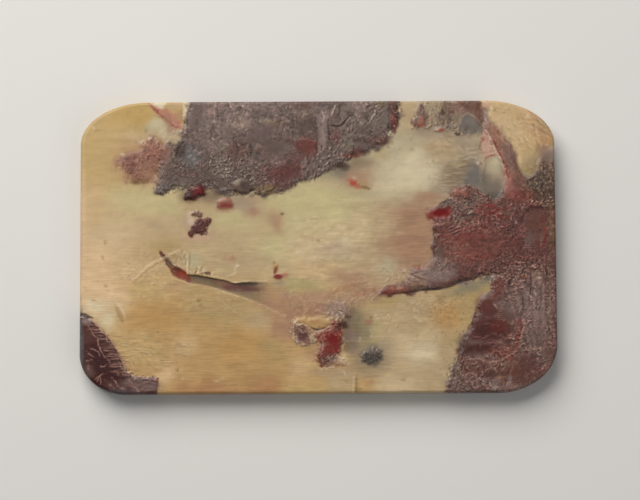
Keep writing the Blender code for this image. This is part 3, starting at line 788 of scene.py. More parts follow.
@dataclass
class UpperCliff:
    """The rock mass that hangs from the top edge, faced with columns and hung with foliage."""

    rise: float = 0.68
    outline: Points = (
        (188, 92), (186.5, 112), (184, 124), (181, 134), (176, 141), (167, 143), (162, 152), (158, 163),
        (156, 172), (157, 180), (154, 187), (156, 193), (163, 195), (169, 191), (176, 188), (185, 190),
        (196, 188), (206, 190), (216, 190), (228, 195), (236, 192), (246, 194), (256, 193), (264, 197),
        (274, 194), (292, 187), (304, 181), (314, 177), (326, 172), (340, 166), (352, 158), (363, 153),
        (378, 148), (386, 142), (391, 132), (397, 126), (399, 116), (398, 92),
    )

    def carve(self, sheet: Sheet) -> None:
        """Carve the cliff: its face, its stains, its foliage and its clefts."""
        Area(self.outline, Stone.DUSK, 1.0, 6.0, 3.4, 6, self.rise, 8.0, 1.0, 20, 80, 0.22).draw(sheet)
        for spot in self.stains():
            spot.draw(sheet)
        face = ((186, 94), (398, 94), (398, 128), (350, 158), (300, 172), (230, 164), (182, 150))
        Crags(face, 8.0, 1.6, 84, 0.072, Stone.MAUVE_LIGHT, Stone.BARK, 0.18, 0.21, 31).draw(sheet)
        Crags(face, 3.4, 1.9, 12, 0.06, Stone.PINK_LIGHT, Stone.SHADOW, 0.15, 0.24, 37).draw(sheet)
        for foliage in self.foliage():
            foliage.draw(sheet)
        for cut in self.cuts():
            cut.draw(sheet)

    def stains(self) -> list[Spot | Area]:
        """Return the clouds of colour in the cliff."""
        maroon = (
            (290, 140), (304, 138), (316, 140), (317, 157), (303, 163), (298, 176), (284, 182), (262, 180),
            (258, 172), (270, 166), (286, 161), (291, 151),
        )
        return [
            Spot(200, 112, 16, 12, Stone.MAUVE_LIGHT, 0.3, 1), Spot(204, 124, 7, 6, Stone.ASH, 0.5, 1),
            Spot(240, 106, 20, 8, Stone.MAUVE_LIGHT, 0.6, 1), Spot(241, 122, 11, 6, Stone.GREY_TAN, 0.7, 1),
            Spot(212, 108, 5, 8, Stone.PINK_LIGHT, 0.3, 1), Spot(232, 104, 10, 3, Stone.PINK_LIGHT, 0.3, 1),
            Spot(224, 121, 8, 8, Stone.MAUVE_LIGHT, 0.6, 1), Spot(353, 123, 7, 6, Stone.MAUVE_LIGHT, 0.5, 1),
            Spot(262, 113, 16, 10, Stone.MAUVE, 0.5, 1), Spot(340, 112, 8, 8, Stone.BARK, 0.4, 1),
            Spot(248, 115, 44, 15, Stone.MAUVE_GREY, 0.4, 1),
            Spot(216, 146, 12, 18, Stone.MAUVE_GREY, 0.35, 1),
            Spot(360, 113, 16, 12, Stone.MAUVE_GREY, 0.4, 1), Spot(190, 156, 7, 10, Stone.SLATE_BLUE, 0.4, 1),
            Spot(238, 149, 8, 7, Stone.BRICK, 0.35, 1), Spot(396, 107, 3, 8, Stone.OLIVE_TAN, 0.35, 1),
            Spot(275, 123, 10, 4, Stone.UMBER, 0.35, 1), Spot(266, 121, 6, 3, Stone.GREY_TAN, 0.5, 1),
            Spot(303, 114, 6, 4, Stone.GREY_TAN, 0.45, 1), Spot(303, 104, 14, 4, Stone.MAROON, 0.45, 1),
            Spot(287, 111, 9, 5, Stone.MAUVE, 0.6, 1), Spot(306, 128, 16, 10, Stone.BARK, 0.85, 1),
            Spot(262, 148, 30, 12, Stone.BARK, 0.6, 1), Spot(268, 150, 10, 7, Stone.SHADOW, 0.35, 1),
            Spot(233, 156, 12, 11, Stone.MAROON, 0.45, 1), Spot(238, 148, 6, 8, Stone.WINE, 0.3, 1),
            Area(maroon, Stone.MAROON, 0.8, 9, 4, 6), Spot(306, 145, 10, 8, Stone.CRIMSON, 0.5, 1),
            Spot(284, 173, 14, 6, Stone.CRIMSON, 0.35, 1), Spot(292, 170, 12, 8, Stone.WINE, 0.55, 1),
            Spot(278, 178, 12, 6, Stone.WINE, 0.4, 1), Spot(321, 110, 8, 12, Stone.MAUVE_LIGHT, 0.5, 1),
            Spot(323, 134, 5, 15, Stone.MAUVE_LIGHT, 0.4, 0.8), Spot(346, 108, 12, 7, Stone.ASH, 0.4, 1),
            Spot(335, 136, 6, 7, Stone.MAROON, 0.7, 0.8), Spot(336, 142, 4, 4, Stone.CRIMSON, 0.3, 1),
            Spot(347, 142, 7, 9, Stone.OLIVE_GREY, 0.45, 1), Spot(366, 122, 16, 10, Stone.ASH, 0.5, 1),
            Spot(362, 106, 16, 6, Stone.MAUVE_LIGHT, 0.5, 1), Spot(378, 141, 12, 5, Stone.MAROON, 0.7, 0.9),
            Spot(356, 153, 10, 4, Stone.WINE, 0.7, 0.9), Spot(350, 156, 8, 2.4, Stone.CRIMSON, 0.4, 1),
            Spot(385, 115, 4, 13, Stone.ASH, 0.6, 0.8), Spot(393.4, 114, 4, 18, Stone.MAROON, 0.95),
            Spot(395, 122, 3, 7, Stone.CRIMSON, 0.45, 0.8), Spot(380, 103, 7, 3, Stone.UMBER, 0.6, 0.9),
            Spot(189, 158, 10, 8, Stone.SLATE_BLUE, 0.5, 1), Spot(180, 149, 5, 8, Stone.SHADOW, 0.8, 0.8),
            Spot(184, 164, 12, 6, Stone.SHADOW, 0.35, 1), Spot(170, 148, 7, 5, Stone.BARK, 0.7, 0.9),
            Spot(190, 175, 11, 2.4, Stone.WINE, 0.8, 0.8), Spot(162, 189, 7, 5, Stone.SLATE, 0.6, 0.8),
            Spot(180, 187, 9, 4, Stone.OLIVE_GREY, 0.5, 1), Spot(222, 148, 6, 6, Stone.OLIVE_GREY, 0.4, 1),
            Spot(214, 172, 22, 13, Stone.BARK, 0.8, 1), Spot(172, 170, 14, 12, Stone.BARK, 0.45, 1),
            Spot(250, 176, 14, 8, Stone.BARK, 0.6, 1), Spot(266, 189, 12, 5, Stone.UMBER, 0.75, 0.9),
            Spot(242, 189, 12, 5, Stone.UMBER, 0.45, 1), Spot(284, 186, 12, 4, Stone.MAROON, 0.5, 1),
            Spot(226, 191, 7, 4, Stone.SLATE, 0.4, 1), Spot(341, 165, 6, 3, Stone.SHADOW, 0.6, 0.9),
            Spot(196, 116, 9, 16, Stone.DUSK, 0.5, 1, 6, 0, 0.65),
            Spot(203, 140, 7, 9, Stone.MAUVE_LIGHT, 0.3, 1, 0, 0, 0.6),
            Spot(192, 160, 8, 6, Stone.SLATE, 0.6, 0.9, 0, -0.05, 0.8),
            Spot(262, 134, 15, 11, Stone.DUSK, 0.5, 1, 0, 0, 0.7),
            Spot(276, 147, 12, 8, Stone.DUSK, 0.6, 0.9, -10, -0.04, 0.8),
            Spot(226, 131, 7, 8, Stone.ASH, 0.35, 0.9, 0, 0, 0.7),
            Spot(234, 152, 6, 7, Stone.BARK, 0.3, 0.9, 0, 0, 0.7),
            Spot(307, 148, 9, 9, Stone.WINE, 0.3, 1, -10, 0, 0.7),
            Spot(290, 171, 11, 7, Stone.WINE, 0.35, 1, -20, 0, 0.6),
            Spot(323, 128, 4, 19, Stone.MAUVE_LIGHT, 0.4, 0.6, -2, 0.05, 0.9),
            Spot(304, 126, 10, 7, Stone.BARK, 0.35, 0.9, 0, 0, 0.7),
            Spot(244, 120, 8, 5, Stone.MAUVE_GREY, 0.3, 0.9, 0, 0, 0.6),
            Spot(384, 116, 4, 12, Stone.ASH, 0.4, 0.8, 0, 0, 0.8),
            Spot(361, 130, 9, 5, Stone.BARK, 0.4, 0.9, -20, 0, 0.7),
            Spot(344, 147, 6, 6, Stone.OLIVE_GREY, 0.3, 0.9, 0, 0, 0.6),
            Spot(184, 182, 8, 5, Stone.ASH, 0.3, 0.9, 0, 0, 0.6),
            Spot(350, 106, 8, 4, Stone.MAUVE_GREY, 0.35, 0.9, 0, 0, 0.7),
            Spot(220, 184, 6, 4, Stone.BARK, 0.5, 0.9, 0, 0, 0.6),
        ]

    def foliage(self) -> list[Leaves]:
        """Return the trees and hanging plants of the cliff."""
        light, dark = Stone.PALE_LIGHT, Stone.SHADOW
        face = ((188, 98), (396, 98), (394, 130), (350, 154), (300, 168), (230, 160), (186, 146))
        hanging = (
            (158, 160), (172, 146), (196, 150), (222, 154), (246, 160), (266, 168), (264, 194), (232, 194),
            (200, 188), (156, 192),
        )
        fan = ((209, 162), (216, 156), (228, 158), (234, 168), (230, 178), (214, 178))
        slope = ((298, 168), (320, 146), (342, 138), (354, 142), (352, 156), (330, 170), (304, 180))
        crown = ((338, 122), (350, 104), (376, 101), (388, 110), (378, 126), (360, 136), (343, 134))
        under = ((256, 168), (290, 160), (306, 170), (300, 184), (276, 194), (256, 192))
        return [
            Leaves(face, 3.8, 2.4, 1, 60, 40, 0.035, light, dark, 0.3, 0.26, 0.3, 40, 0.4, 40, 0.15),
            Leaves(face, 3, 1.2, 0.96, 0, 54, 0.028, light, dark, 0.22, 0.18, 0.1, 46, 0.35, 40, 0),
            Leaves(hanging, 2.7, 2.4, 0.78, -10, 60, 0.04, light, dark, 0.46, 0.34, 0.5, 41, 0.4),
            Leaves(hanging, 3, 1.5, 0.8, 20, 60, 0.03, light, dark, 0.34, 0.3, 0.3, 47, 0.6, 40, 0.2),
            Bands(fan, 4.8, -12, light, dark, 0.3, 0.09, 2.6, 45),
            Leaves(fan, 3.4, 3.8, 0.9, -8, 30, 0.05, light, dark, 0.6, 0.26, 0.45, 42, 0.35, 30, 0.4),
            Leaves(slope, 3, 3.2, 1, -56, 16, 0.04, light, dark, 0.4, 0.28, 0.12, 43, 0.35, 15),
            Leaves(crown, 3, 3.2, 1, -54, 18, 0.045, light, dark, 0.4, 0.3, 0.12, 44, 0.3, 20),
            Leaves(under, 3.2, 2.4, 1.08, -30, 27, 0.042, Stone.PINK_LIGHT, Stone.PLUM, 0.32, 0.26, 0.1, 45,
                   0.4),
        ]

    def cuts(self) -> list[Stroke | Spot]:
        """Return the cliff's clefts and ledges: dark strokes of painted shade in the clefts, pale strokes and
        spots of painted highlight on the ledges.
        """
        light, dark = Stone.PALE_LIGHT, Stone.SHADOW
        return [
            Stroke(((330, 125), (340, 126), (346, 120), (350, 115)), 1.6, dark, 0.75, -0.22),
            Stroke(((322, 118), (323, 132), (325, 147)), 0.9, light, 0.2, 0.06, True, 1.2),
            Stroke(((328, 118), (329, 132), (331, 147)), 1.2, dark, 0.5, -0.14),
            Stroke(((316, 120), (317, 138), (317, 157)), 1, dark, 0.4, -0.12),
            Stroke(((290, 140), (303, 139), (316, 141)), 0.9, Stone.PINK_LIGHT, 0.25, 0.06),
            Stroke(((187.6, 103), (187, 116), (184, 128), (180, 138)), 1.2, dark, 0.35, -0.1, True, 2),
            Stroke(((186.6, 110), (185.4, 122), (184, 134)), 0.8, light, 0.4, 0.04, True, 1.6),
            Stroke(((184, 142), (179, 148), (176, 160)), 1.8, dark, 0.55, -0.15),
            Stroke(((211, 103), (214, 112), (213, 122)), 1.1, light, 0.3, 0.08, True, 1.4),
            Stroke(((217, 104), (218, 116), (217, 126)), 1.2, dark, 0.35, -0.12),
            Stroke(((336, 104), (333, 110), (332, 116)), 1.2, light, 0.6, 0.12),
            Stroke(((321, 110), (324, 116), (323, 122)), 1, light, 0.4, 0.08),
            Stroke(((339, 102), (339, 112), (335, 120)), 1, dark, 0.5, -0.1),
            Stroke(((300, 102), (330, 101.5), (352, 102)), 0.8, Stone.MAROON, 0.6),
            Stroke(((376, 110), (372, 118), (368, 124)), 1.1, light, 0.45, 0.1),
            Stroke(((389, 104), (388.5, 118), (388, 132)), 0.9, dark, 0.45, -0.1),
            Stroke(((236, 142), (238, 150), (237, 158)), 1.2, dark, 0.5, -0.1),
            Stroke(((250, 142), (251, 152), (250, 162)), 1, dark, 0.4, -0.1),
            Spot(190, 156, 2.2, 1.2, light, 0.35, 0.9, -30, 0.06),
            Spot(194, 159, 2, 0.9, light, 0.35, 0.9, -40), Spot(214, 121, 2, 1.8, light, 0.35, 1, 0, 0.06),
            Spot(197, 163, 3, 1.2, Stone.MAUVE_LIGHT, 0.6),
        ]


@dataclass
class TopLeftInlay:
    """The red stripe, pale wedge and tan patch beside the cliff at the top left."""

    def carve(self, sheet: Sheet) -> None:
        """Draw the patches; they are colour in the stone, with only a slight edge."""
        tan = ((163, 92), (187, 92), (186, 108), (183, 124), (176, 122), (170, 112), (165, 106))
        stripe = (
            (147, 100), (154, 104.5), (161, 107.5), (167, 108), (172, 112), (177, 118), (182, 128),
            (176, 128), (168, 123.5), (160, 115.5), (153.5, 110),
        )
        pale = ((149, 92), (164.5, 92), (165.5, 104), (161, 107.6), (155, 105), (150, 102.5))
        strip = ((183, 92), (190, 92), (188.5, 105), (186, 112), (183.5, 120), (182.5, 110))
        Area(tan, Stone.TAN, 0.85, 2.4, 0.8).draw(sheet)
        Spot(174, 106, 8, 4, Stone.SAND, 0.5, 1.0).draw(sheet)
        Spot(178, 118, 5, 6, Stone.ROSE_TAN, 0.5, 1.0).draw(sheet)
        Area(strip, Stone.PALE_CREAM, 0.8, 2.0, 0.8).draw(sheet)
        Area(stripe, Stone.SALMON, 0.9, 2.6, 0.7, rise=0.06, wall=2).draw(sheet)
        Area(pale, Stone.PALE_CREAM, 1.0, 2.2, 0.8, 3).draw(sheet)
        Spot(163, 97, 4, 6, Stone.CREAM, 0.5, 1.0, -30).draw(sheet)
        Stroke(((150, 103.6), (155, 109.4), (163, 116.2), (171, 123), (178, 127.4)), 1.5, Stone.CRIMSON, 0.75,
               -0.03, True, 1.2).draw(sheet)
        Leaves(stripe, 3.2, 2.2, 0.8, 40, 20, 0.015, Stone.PINK_LIGHT, Stone.CLARET, 0.4, 0.1, 0.1, 48, 0.2,
               10).draw(sheet)
        Spot(168, 118, 5, 4, Stone.ROSE_TAN, 0.6, 1.0, 40).draw(sheet)
        Stroke(((166, 110), (171, 116), (178, 125)), 1.6, Stone.ROSE_TAN, 0.4).draw(sheet)
        Leaves(((164, 124), (182, 124), (182, 140), (170, 144), (158, 136)), 3.4, 2.4, 0.8, -40, 36, 0.02,
               Stone.PALE_LIGHT, Stone.GREY_TAN, 0.45, 0.08, 0.2, 49, 0.1).draw(sheet)


@dataclass
class RedTrees:
    """The red-brown cluster of leaves left of the cliff."""

    rise: float = 0.35
    outline: Points = (
        (149, 137), (155, 139), (161, 141), (168, 150), (166, 160), (159, 164), (156, 170), (156, 177),
        (147, 183), (139, 185), (132, 183), (127, 177), (122, 170), (118, 163), (119, 157), (125, 154),
        (132, 153.5), (138, 149), (144, 143),
    )

    def carve(self, sheet: Sheet) -> None:
        """Carve the cluster."""
        Spot(140, 162, 27, 24, Stone.ROSE_TAN, 0.4, 1.2).draw(sheet)
        Area(self.outline, Stone.BRICK, 0.9, 11.0, 3.6, 5, self.rise, 11.0, 0.7, -30, 80, 0.2).draw(sheet)
        for mark in (
            Spot(155, 150, 10, 8, Stone.TERRACOTTA, 0.35, 1), Spot(131, 161, 9, 10, Stone.BRICK, 0.55, 1),
            Spot(150, 177, 9, 7, Stone.ROSE_TAN, 0.7, 1, 0, -0.1, 0.8),
            Spot(139, 181, 9, 3, Stone.UMBER, 0.5, 1), Spot(163, 158, 5, 6, Stone.MAROON, 0.4, 1),
            Spot(146, 166, 6, 8, Stone.ROSE_TAN, 0.35, 1),
        ):
            mark.draw(sheet)
        halo = ((149, 132), (170, 142), (170, 160), (160, 184), (130, 188), (113, 162), (122, 148))
        Leaves(halo, 3.2, 1.3, 1.0, -20, 36, 0.02, Stone.PINK_LIGHT, Stone.BRICK, 0.25, 0.08, 0.3, 51, 0.2,
               30, 0.1).draw(sheet)
        Leaves(self.outline, 2.7, 3.0, 0.72, -20, 44, 0.03, Stone.PINK_LIGHT, Stone.WINE, 0.4, 0.26, 0.45, 52,
               0.4, 50, 0.2).draw(sheet)
        # The pale spots are painted highlights on the cluster's upper-left edges
        for mark in (
            Spot(149.5, 138, 2, 1.6, Stone.PALE_LIGHT, 0.7, 0.9, 0, 0.08),
            Spot(122.5, 154, 2.8, 1, Stone.PALE_LIGHT, 0.55, 0.9, 10, 0.05),
            Spot(142, 141.5, 3, 1.2, Stone.PALE_LIGHT, 0.4, 0.8, -30, 0.06),
            Spot(127, 158, 3, 2, Stone.WINE, 0.6), Spot(133, 164, 2.5, 2.5, Stone.WINE, 0.6),
            Spot(131.5, 171, 2, 2, Stone.WINE, 0.6), Spot(120, 162.5, 1.6, 0.9, Stone.PALE_LIGHT, 0.5),
        ):
            mark.draw(sheet)


@dataclass
class TopForest:
    """Mottled forest along the top edge, with a slate rock and small red leaves."""

    rise: float = 0.5
    outline: Points = (
        (422, 92), (421, 104), (417, 112), (411, 122), (413, 127), (428, 127), (444, 129), (456, 134),
        (466, 134), (480, 132), (483, 122), (480, 108), (480, 92),
    )

    def carve(self, sheet: Sheet) -> None:
        """Carve the forest."""
        Area(self.outline, Stone.GREY_TAN, 0.8, 8.0, 3.4, 5, self.rise, 8.0, 0.8, -50, 70, 0.2).draw(sheet)
        slate = (
            (460.5, 119), (465.5, 113), (471, 114), (475, 119), (481.5, 124), (483, 130), (476, 132.5),
            (461, 131),
        )
        trunk = (
            (421.5, 103), (424, 108), (427, 113), (428, 119), (425, 126), (416, 126), (411, 123), (417, 113),
        )
        for mark in (
            Spot(436, 104, 14, 5, Stone.SAND, 0.5, 1), Spot(447, 118, 12, 8, Stone.BARK, 0.5, 1),
            Spot(432, 120, 5, 6, Stone.SAND, 0.35, 1), Spot(443, 127, 14, 3, Stone.MAUVE_LIGHT, 0.5, 1),
            Spot(446, 107, 5, 9, Stone.BARK, 0.5, 1),
            Stroke(((455, 99), (464, 105), (474, 112), (482, 120)), 3, Stone.CLARET, 0.6),
            Stroke(((452, 100), (461, 106), (468, 111)), 1, Stone.PINK_LIGHT, 0.4, 0.04, True, 1.2),
            Spot(470, 104, 14, 8, Stone.MAROON, 0.8, 0.9), Spot(458, 109, 6, 4, Stone.PINK_LIGHT, 0.35, 1),
            Spot(477, 112, 6, 9, Stone.BRICK, 0.55, 1), Spot(450, 108, 8, 6, Stone.MAROON, 0.4, 1),
        ):
            mark.draw(sheet)
        Area(trunk, Stone.MAROON, 0.75, 4.0, 1.6, 3).draw(sheet)
        Leaves(self.outline, 3.4, 3.4, 0.9, -70, 18, 0.03, Stone.OLIVE_CREAM, Stone.BARK, 0.35, 0.22, 0.15,
               61, 0.3, 30).draw(sheet)
        Leaves(self.outline, 4.2, 2.0, 0.8, 20, 36, 0.02, Stone.PINK_LIGHT, Stone.MAROON, 0.35, 0.18, 0.3, 62,
               0.3).draw(sheet)
        Area(slate, Stone.SLATE, 0.85, 6.0, 1.6, 4, 0.42, 6.0, 0.3, calm=0.8).draw(sheet)
        for mark in (
            Stroke(((461, 119), (467, 113), (473, 116), (482, 124)), 0.9, Stone.PINK_LIGHT, 0.5, 0.06),
            Spot(466, 128, 3, 3, Stone.BARK, 0.5), Spot(474, 127, 5, 3, Stone.ASH, 0.6),
            Spot(471, 121, 4, 3, Stone.MAUVE_LIGHT, 0.3, 1),
            Spot(420.6, 122, 3, 4.5, Stone.TERRACOTTA, 0.7, 0.8, 0, 0.06),
            Spot(421, 125, 3.6, 2, Stone.BRIGHT_RED, 0.3), Spot(421, 118.5, 1.4, 1.6, Stone.BRIGHT_RED, 0.3),
            Spot(440, 130, 4.5, 1.6, Stone.TERRACOTTA, 0.75, 0.9, -8, 0.06),
            Spot(441, 130, 2.4, 1, Stone.BRIGHT_RED, 0.5, 0.9), Spot(437, 129, 2, 1.4, Stone.PALE_LIGHT, 0.4),
            Spot(457.5, 134, 3, 1.6, Stone.SHADOW, 0.7), Spot(442, 112, 1.8, 3.2, Stone.SHADOW, 0.5, 0.7),
            Spot(452, 112, 2.4, 2, Stone.WINE, 0.5), Spot(422, 106, 1.4, 3, Stone.PLUM, 0.5),
            Spot(450, 119, 2, 2, Stone.SHADOW, 0.4), Spot(465, 136, 8, 3, Stone.MAUVE_GREY, 0.4, 1.2),
            Spot(474, 138, 9, 4, Stone.GREY_CREAM, 0.4, 1.2), Spot(447, 136, 5, 2, Stone.UMBER, 0.3, 1),
        ):
            mark.draw(sheet)


@dataclass
class CreamCorner:
    """The cream cloud in the top right corner and the rose band that bounds it."""

    rise: float = 0.5
    outline: Points = (
        (480, 92), (481, 103), (487, 110), (490, 119), (500, 129.5), (505, 136), (511, 144), (515, 151),
        (518, 162), (522, 170), (527, 174), (532, 174), (536, 168), (536.5, 158), (538, 150), (545, 146),
        (572, 141), (572, 92),
    )

    def carve(self, sheet: Sheet) -> None:
        """Carve the corner."""
        Area(self.outline, Stone.BISCUIT, 1.0, 6.0, 1.8, 5, self.rise, 7.0, 0.15, 35, 60, 0.08).draw(sheet)
        for mark in (
            Spot(500, 121, 8, 6, Stone.CREAM, 0.5, 1), Spot(485, 104, 5, 4, Stone.PINK_LIGHT, 0.5, 1),
            Spot(513, 132, 11, 12, Stone.CREAM, 0.4, 1.2), Spot(540, 118, 9, 5, Stone.ROSE_TAN, 0.4, 1.2, 40),
            Spot(531, 112, 9, 4, Stone.PEACH, 0.5, 1.2, 20), Spot(531, 151, 8, 10, Stone.HONEY, 0.6, 1.2),
            Spot(547, 128, 6, 7, Stone.PINK_LIGHT, 0.3, 1.2), Spot(532, 166, 8, 8, Stone.HULL_GREY, 0.8, 1.2),
            Spot(532, 107, 7, 3, Stone.ROSE_TAN, 0.5, 1.2, 20),
            Spot(547, 121, 4, 6, Stone.ROSE_TAN, 0.5, 1.2), Spot(541, 149, 6, 5, Stone.ROSE_TAN, 0.5, 1.2),
            Spot(536, 114, 11, 5, Stone.RUST_TAN, 0.55, 1, 35), Spot(546, 124, 5, 10, Stone.OLIVE, 0.5, 1),
            Spot(541, 133, 13, 7, Stone.RUST_TAN, 0.55, 1, 30), Spot(531, 157, 8, 10, Stone.SAND, 0.45, 1),
            Spot(546, 142, 8, 4, Stone.RUST_TAN, 0.6, 1), Spot(529, 170, 6, 5, Stone.OLIVE_TAN, 0.5, 1),
            Spot(524, 118, 10, 5, Stone.TAN, 0.35, 1.2, 30),
        ):
            mark.draw(sheet)
        speckled = ((520, 112), (552, 122), (554, 142), (538, 148), (524, 150), (512, 132))
        Leaves(speckled, 3.8, 3.8, 1.08, 26, 13, 0.02, Stone.PALE_LIGHT, Stone.RUST_TAN, 0.3, 0.06, 0.1, 71,
               0.1).draw(sheet)
        Leaves(speckled, 4.8, 1.6, 0.96, 60, 36, 0.015, Stone.PALE_LIGHT, Stone.UMBER, 0.2, 0.05, 0.1, 73,
               0.12).draw(sheet)
        pitted = ((484, 104), (520, 102), (524, 130), (512, 140), (494, 124))
        Leaves(pitted, 4.6, 3.0, 0.84, 46, 18, 0.0175, Stone.PALE_LIGHT, Stone.UMBER, 0.22, 0.064, 0.1, 72,
               0.3).draw(sheet)
        Specks(self.outline, 110, Stone.PALE_LIGHT, 0.5, 0.9, 0.02, 74).draw(sheet)
        Specks(self.outline, 50, Stone.UMBER, 0.4, 0.8, -0.02, 75).draw(sheet)
        for mark in (
            Stroke(((491, 105), (492, 111)), 0.9, Stone.PALE_LIGHT, 0.8, 0.06),
            Spot(494, 110, 1, 1.6, Stone.UMBER, 0.5), Spot(527, 116, 2, 3, Stone.PALE_LIGHT, 0.4, 0.8, 30),
            Stroke(((536, 119), (545, 127), (554, 134)), 0.8, Stone.UMBER, 0.5, -0.03, True, 1.2),
            Stroke(((532, 124), (542, 131), (554, 138)), 0.7, Stone.BARK, 0.4, -0.03, True, 1.2),
            Stroke(((538, 111), (546, 118), (551, 126)), 0.7, Stone.UMBER, 0.35, -0.03, True, 1.2),
            Stroke(((524, 124), (534, 130), (540, 138)), 0.7, Stone.PALE_LIGHT, 0.45, 0.02, True, 1.2),
        ):
            mark.draw(sheet)


@dataclass
class RightMountain:
    """The dark mountain along the right side, from the top edge to the bottom."""

    rise: float = 0.7
    band: Points = (
        (478, 92), (484, 112), (484, 126), (489, 135), (494, 146), (500, 157), (504, 168), (506, 180),
        (506, 194), (520, 200), (556, 196), (556, 166), (545, 160), (538, 160), (534, 172), (526, 176),
        (519, 168), (515, 152), (505, 136), (490, 120), (486, 108), (483, 92),
    )
    outline: Points = (
        (507, 182), (503, 191), (494, 200), (482, 196), (476, 189), (466, 186), (456, 190), (451, 197),
        (445, 202), (438, 206), (430, 210), (427, 216), (433, 222), (434, 232), (433, 246), (433, 261),
        (424, 267), (412, 272), (407, 283), (394, 286), (384, 287), (379, 295), (394, 295), (406, 293.5),
        (420, 291), (439, 289), (452, 286), (460, 282.5), (472, 279.5), (485, 275), (494, 273), (493, 281),
        (492, 288), (487, 295), (479, 303), (476, 313), (472, 322), (467, 331), (461, 346), (459, 354),
        (456, 364), (452, 374), (449, 386), (446, 398), (446, 408), (584, 408), (584, 160), (545, 174),
        (526, 180),
    )

    def carve(self, sheet: Sheet) -> None:
        """Carve the mountain: band, upper woods and lower rock."""
        Area(self.outline, Stone.MAROON, 1.0, 4.0, 2.4, 6, self.rise, 6.0, 1.0, -10, 55, 0.2).draw(sheet)
        Area(self.band, Stone.BRICK, 0.85, 4.0, 1.6, 5, self.rise, 6.0, 0.5, 62, 20, 0.2).draw(sheet)
        for mark in self.band_marks() + self.upper_stains() + self.lower_stains():
            mark.draw(sheet)
        for texture in self.textures():
            texture.draw(sheet)
        for mark in self.veins():
            mark.draw(sheet)

    def band_marks(self) -> list:
        """Return the marks of the rose band and of the pale hollow beside it."""
        hollow = (
            (487, 160), (492, 157), (498, 157), (502, 163), (504, 172), (505, 184), (502, 192), (496, 196),
            (489, 192), (485, 180), (484, 168),
        )
        pink = (
            (484, 126), (489, 134), (494, 146), (500, 156), (492, 158), (485, 158), (481, 146), (481, 132),
        )
        strip = ((503, 164), (508, 172), (513, 184), (514, 198), (506, 200), (504, 186))
        return [
            Spot(497, 133, 8, 14, Stone.ROSE_TAN, 0.35, 1, -30),
            Spot(509, 156, 6, 14, Stone.MAUVE, 0.5, 0.9, -12), Spot(480, 110, 5, 14, Stone.MAROON, 0.5, 0.9),
            Spot(487, 118, 4, 12, Stone.MAUVE_LIGHT, 0.5, 0.9, -16),
            Spot(517, 166, 4, 14, Stone.BARK, 0.4, 0.9, -12),
            Spot(547, 155, 10, 8, Stone.MAUVE_GREY, 0.75, 1.2, 0, 0, 0.8),
            Spot(552, 150, 5, 4, Stone.PINK_LIGHT, 0.2, 1.2), Spot(545, 162, 9, 9, Stone.BARK, 0.5, 1.2),
            Spot(547, 122, 6, 8, Stone.OLIVE_TAN, 0.7, 1.2), Spot(531, 107, 8, 6, Stone.OLIVE_TAN, 0.6, 1.2),
            Spot(518, 184, 6, 8, Stone.MAROON, 0.5, 1), Area(pink, Stone.PINK_LIGHT, 0.55, 4, 2, 4),
            Leaves(pink, 2.8, 1.6, 0.96, -30, 30, 0.021, Stone.PALE_CREAM, Stone.BRICK, 0.41, 0.08, 0.1, 88,
                   0.3), Area(hollow, Stone.GREY_TAN, 0.9, 2.2, 0.8),
            Spot(494, 166, 7, 9, Stone.GREY_CREAM, 0.85, 1.2),
            Stroke(((485.5, 164), (484.4, 174), (485.4, 186)), 0.8, Stone.BARK, 0.4, -0.05, True, 0.8),
            Spot(496, 162, 4, 4, Stone.PALE_CREAM, 0.4, 1.2), Spot(494, 188, 8, 8, Stone.ASH, 0.75, 1.2),
            Spot(486, 182, 5, 10, Stone.ASH, 0.7, 1.2), Spot(498, 196, 6, 4, Stone.ASH, 0.6, 1),
            Spot(462, 252, 12, 9, Stone.BRICK, 0.55, 1), Spot(446, 234, 5, 8, Stone.BRICK, 0.5, 1),
            Spot(494, 196, 7, 4, Stone.NIGHT, 0.35, 1.2), Area(strip, Stone.ROSE, 0.6, 3, 1, 4),
            Leaves(self.band, 3.6, 3.4, 0.96, 62, 14, 0.0245, Stone.PINK_LIGHT, Stone.MAROON, 0.26, 0.16, 0.1,
                   89, 0.2),
            Stroke(((483, 130), (490, 136), (494, 141), (497, 150), (503, 160), (507, 172), (508, 188)),
                   1.1, Stone.CRIMSON, 0.65, 0.04, True, 1.2),
            Stroke(((482, 127), (489, 134), (493, 143), (496, 152), (501, 161), (505, 174)),
                   0.9, Stone.PALE_LIGHT, 0.5, 0.04, True, 1.2),
            Stroke(((483, 139), (480, 146), (482, 152)), 0.9, Stone.CRIMSON, 0.45, 0, True, 1.2),
            Stroke(((484, 162), (489, 156), (497, 155)), 1.1, Stone.CRIMSON, 0.5),
            Stroke(((476, 152), (484, 153), (490, 152)), 0.9, Stone.TERRACOTTA, 0.45),
            Stroke(((489, 103), (493, 112), (502, 124), (512, 138)), 1, Stone.BRICK, 0.4, -0.06),
            Spot(483, 139, 3, 2, Stone.CRIMSON, 0.3), Spot(495, 106, 3, 3, Stone.PINK_LIGHT, 0.4),
        ]

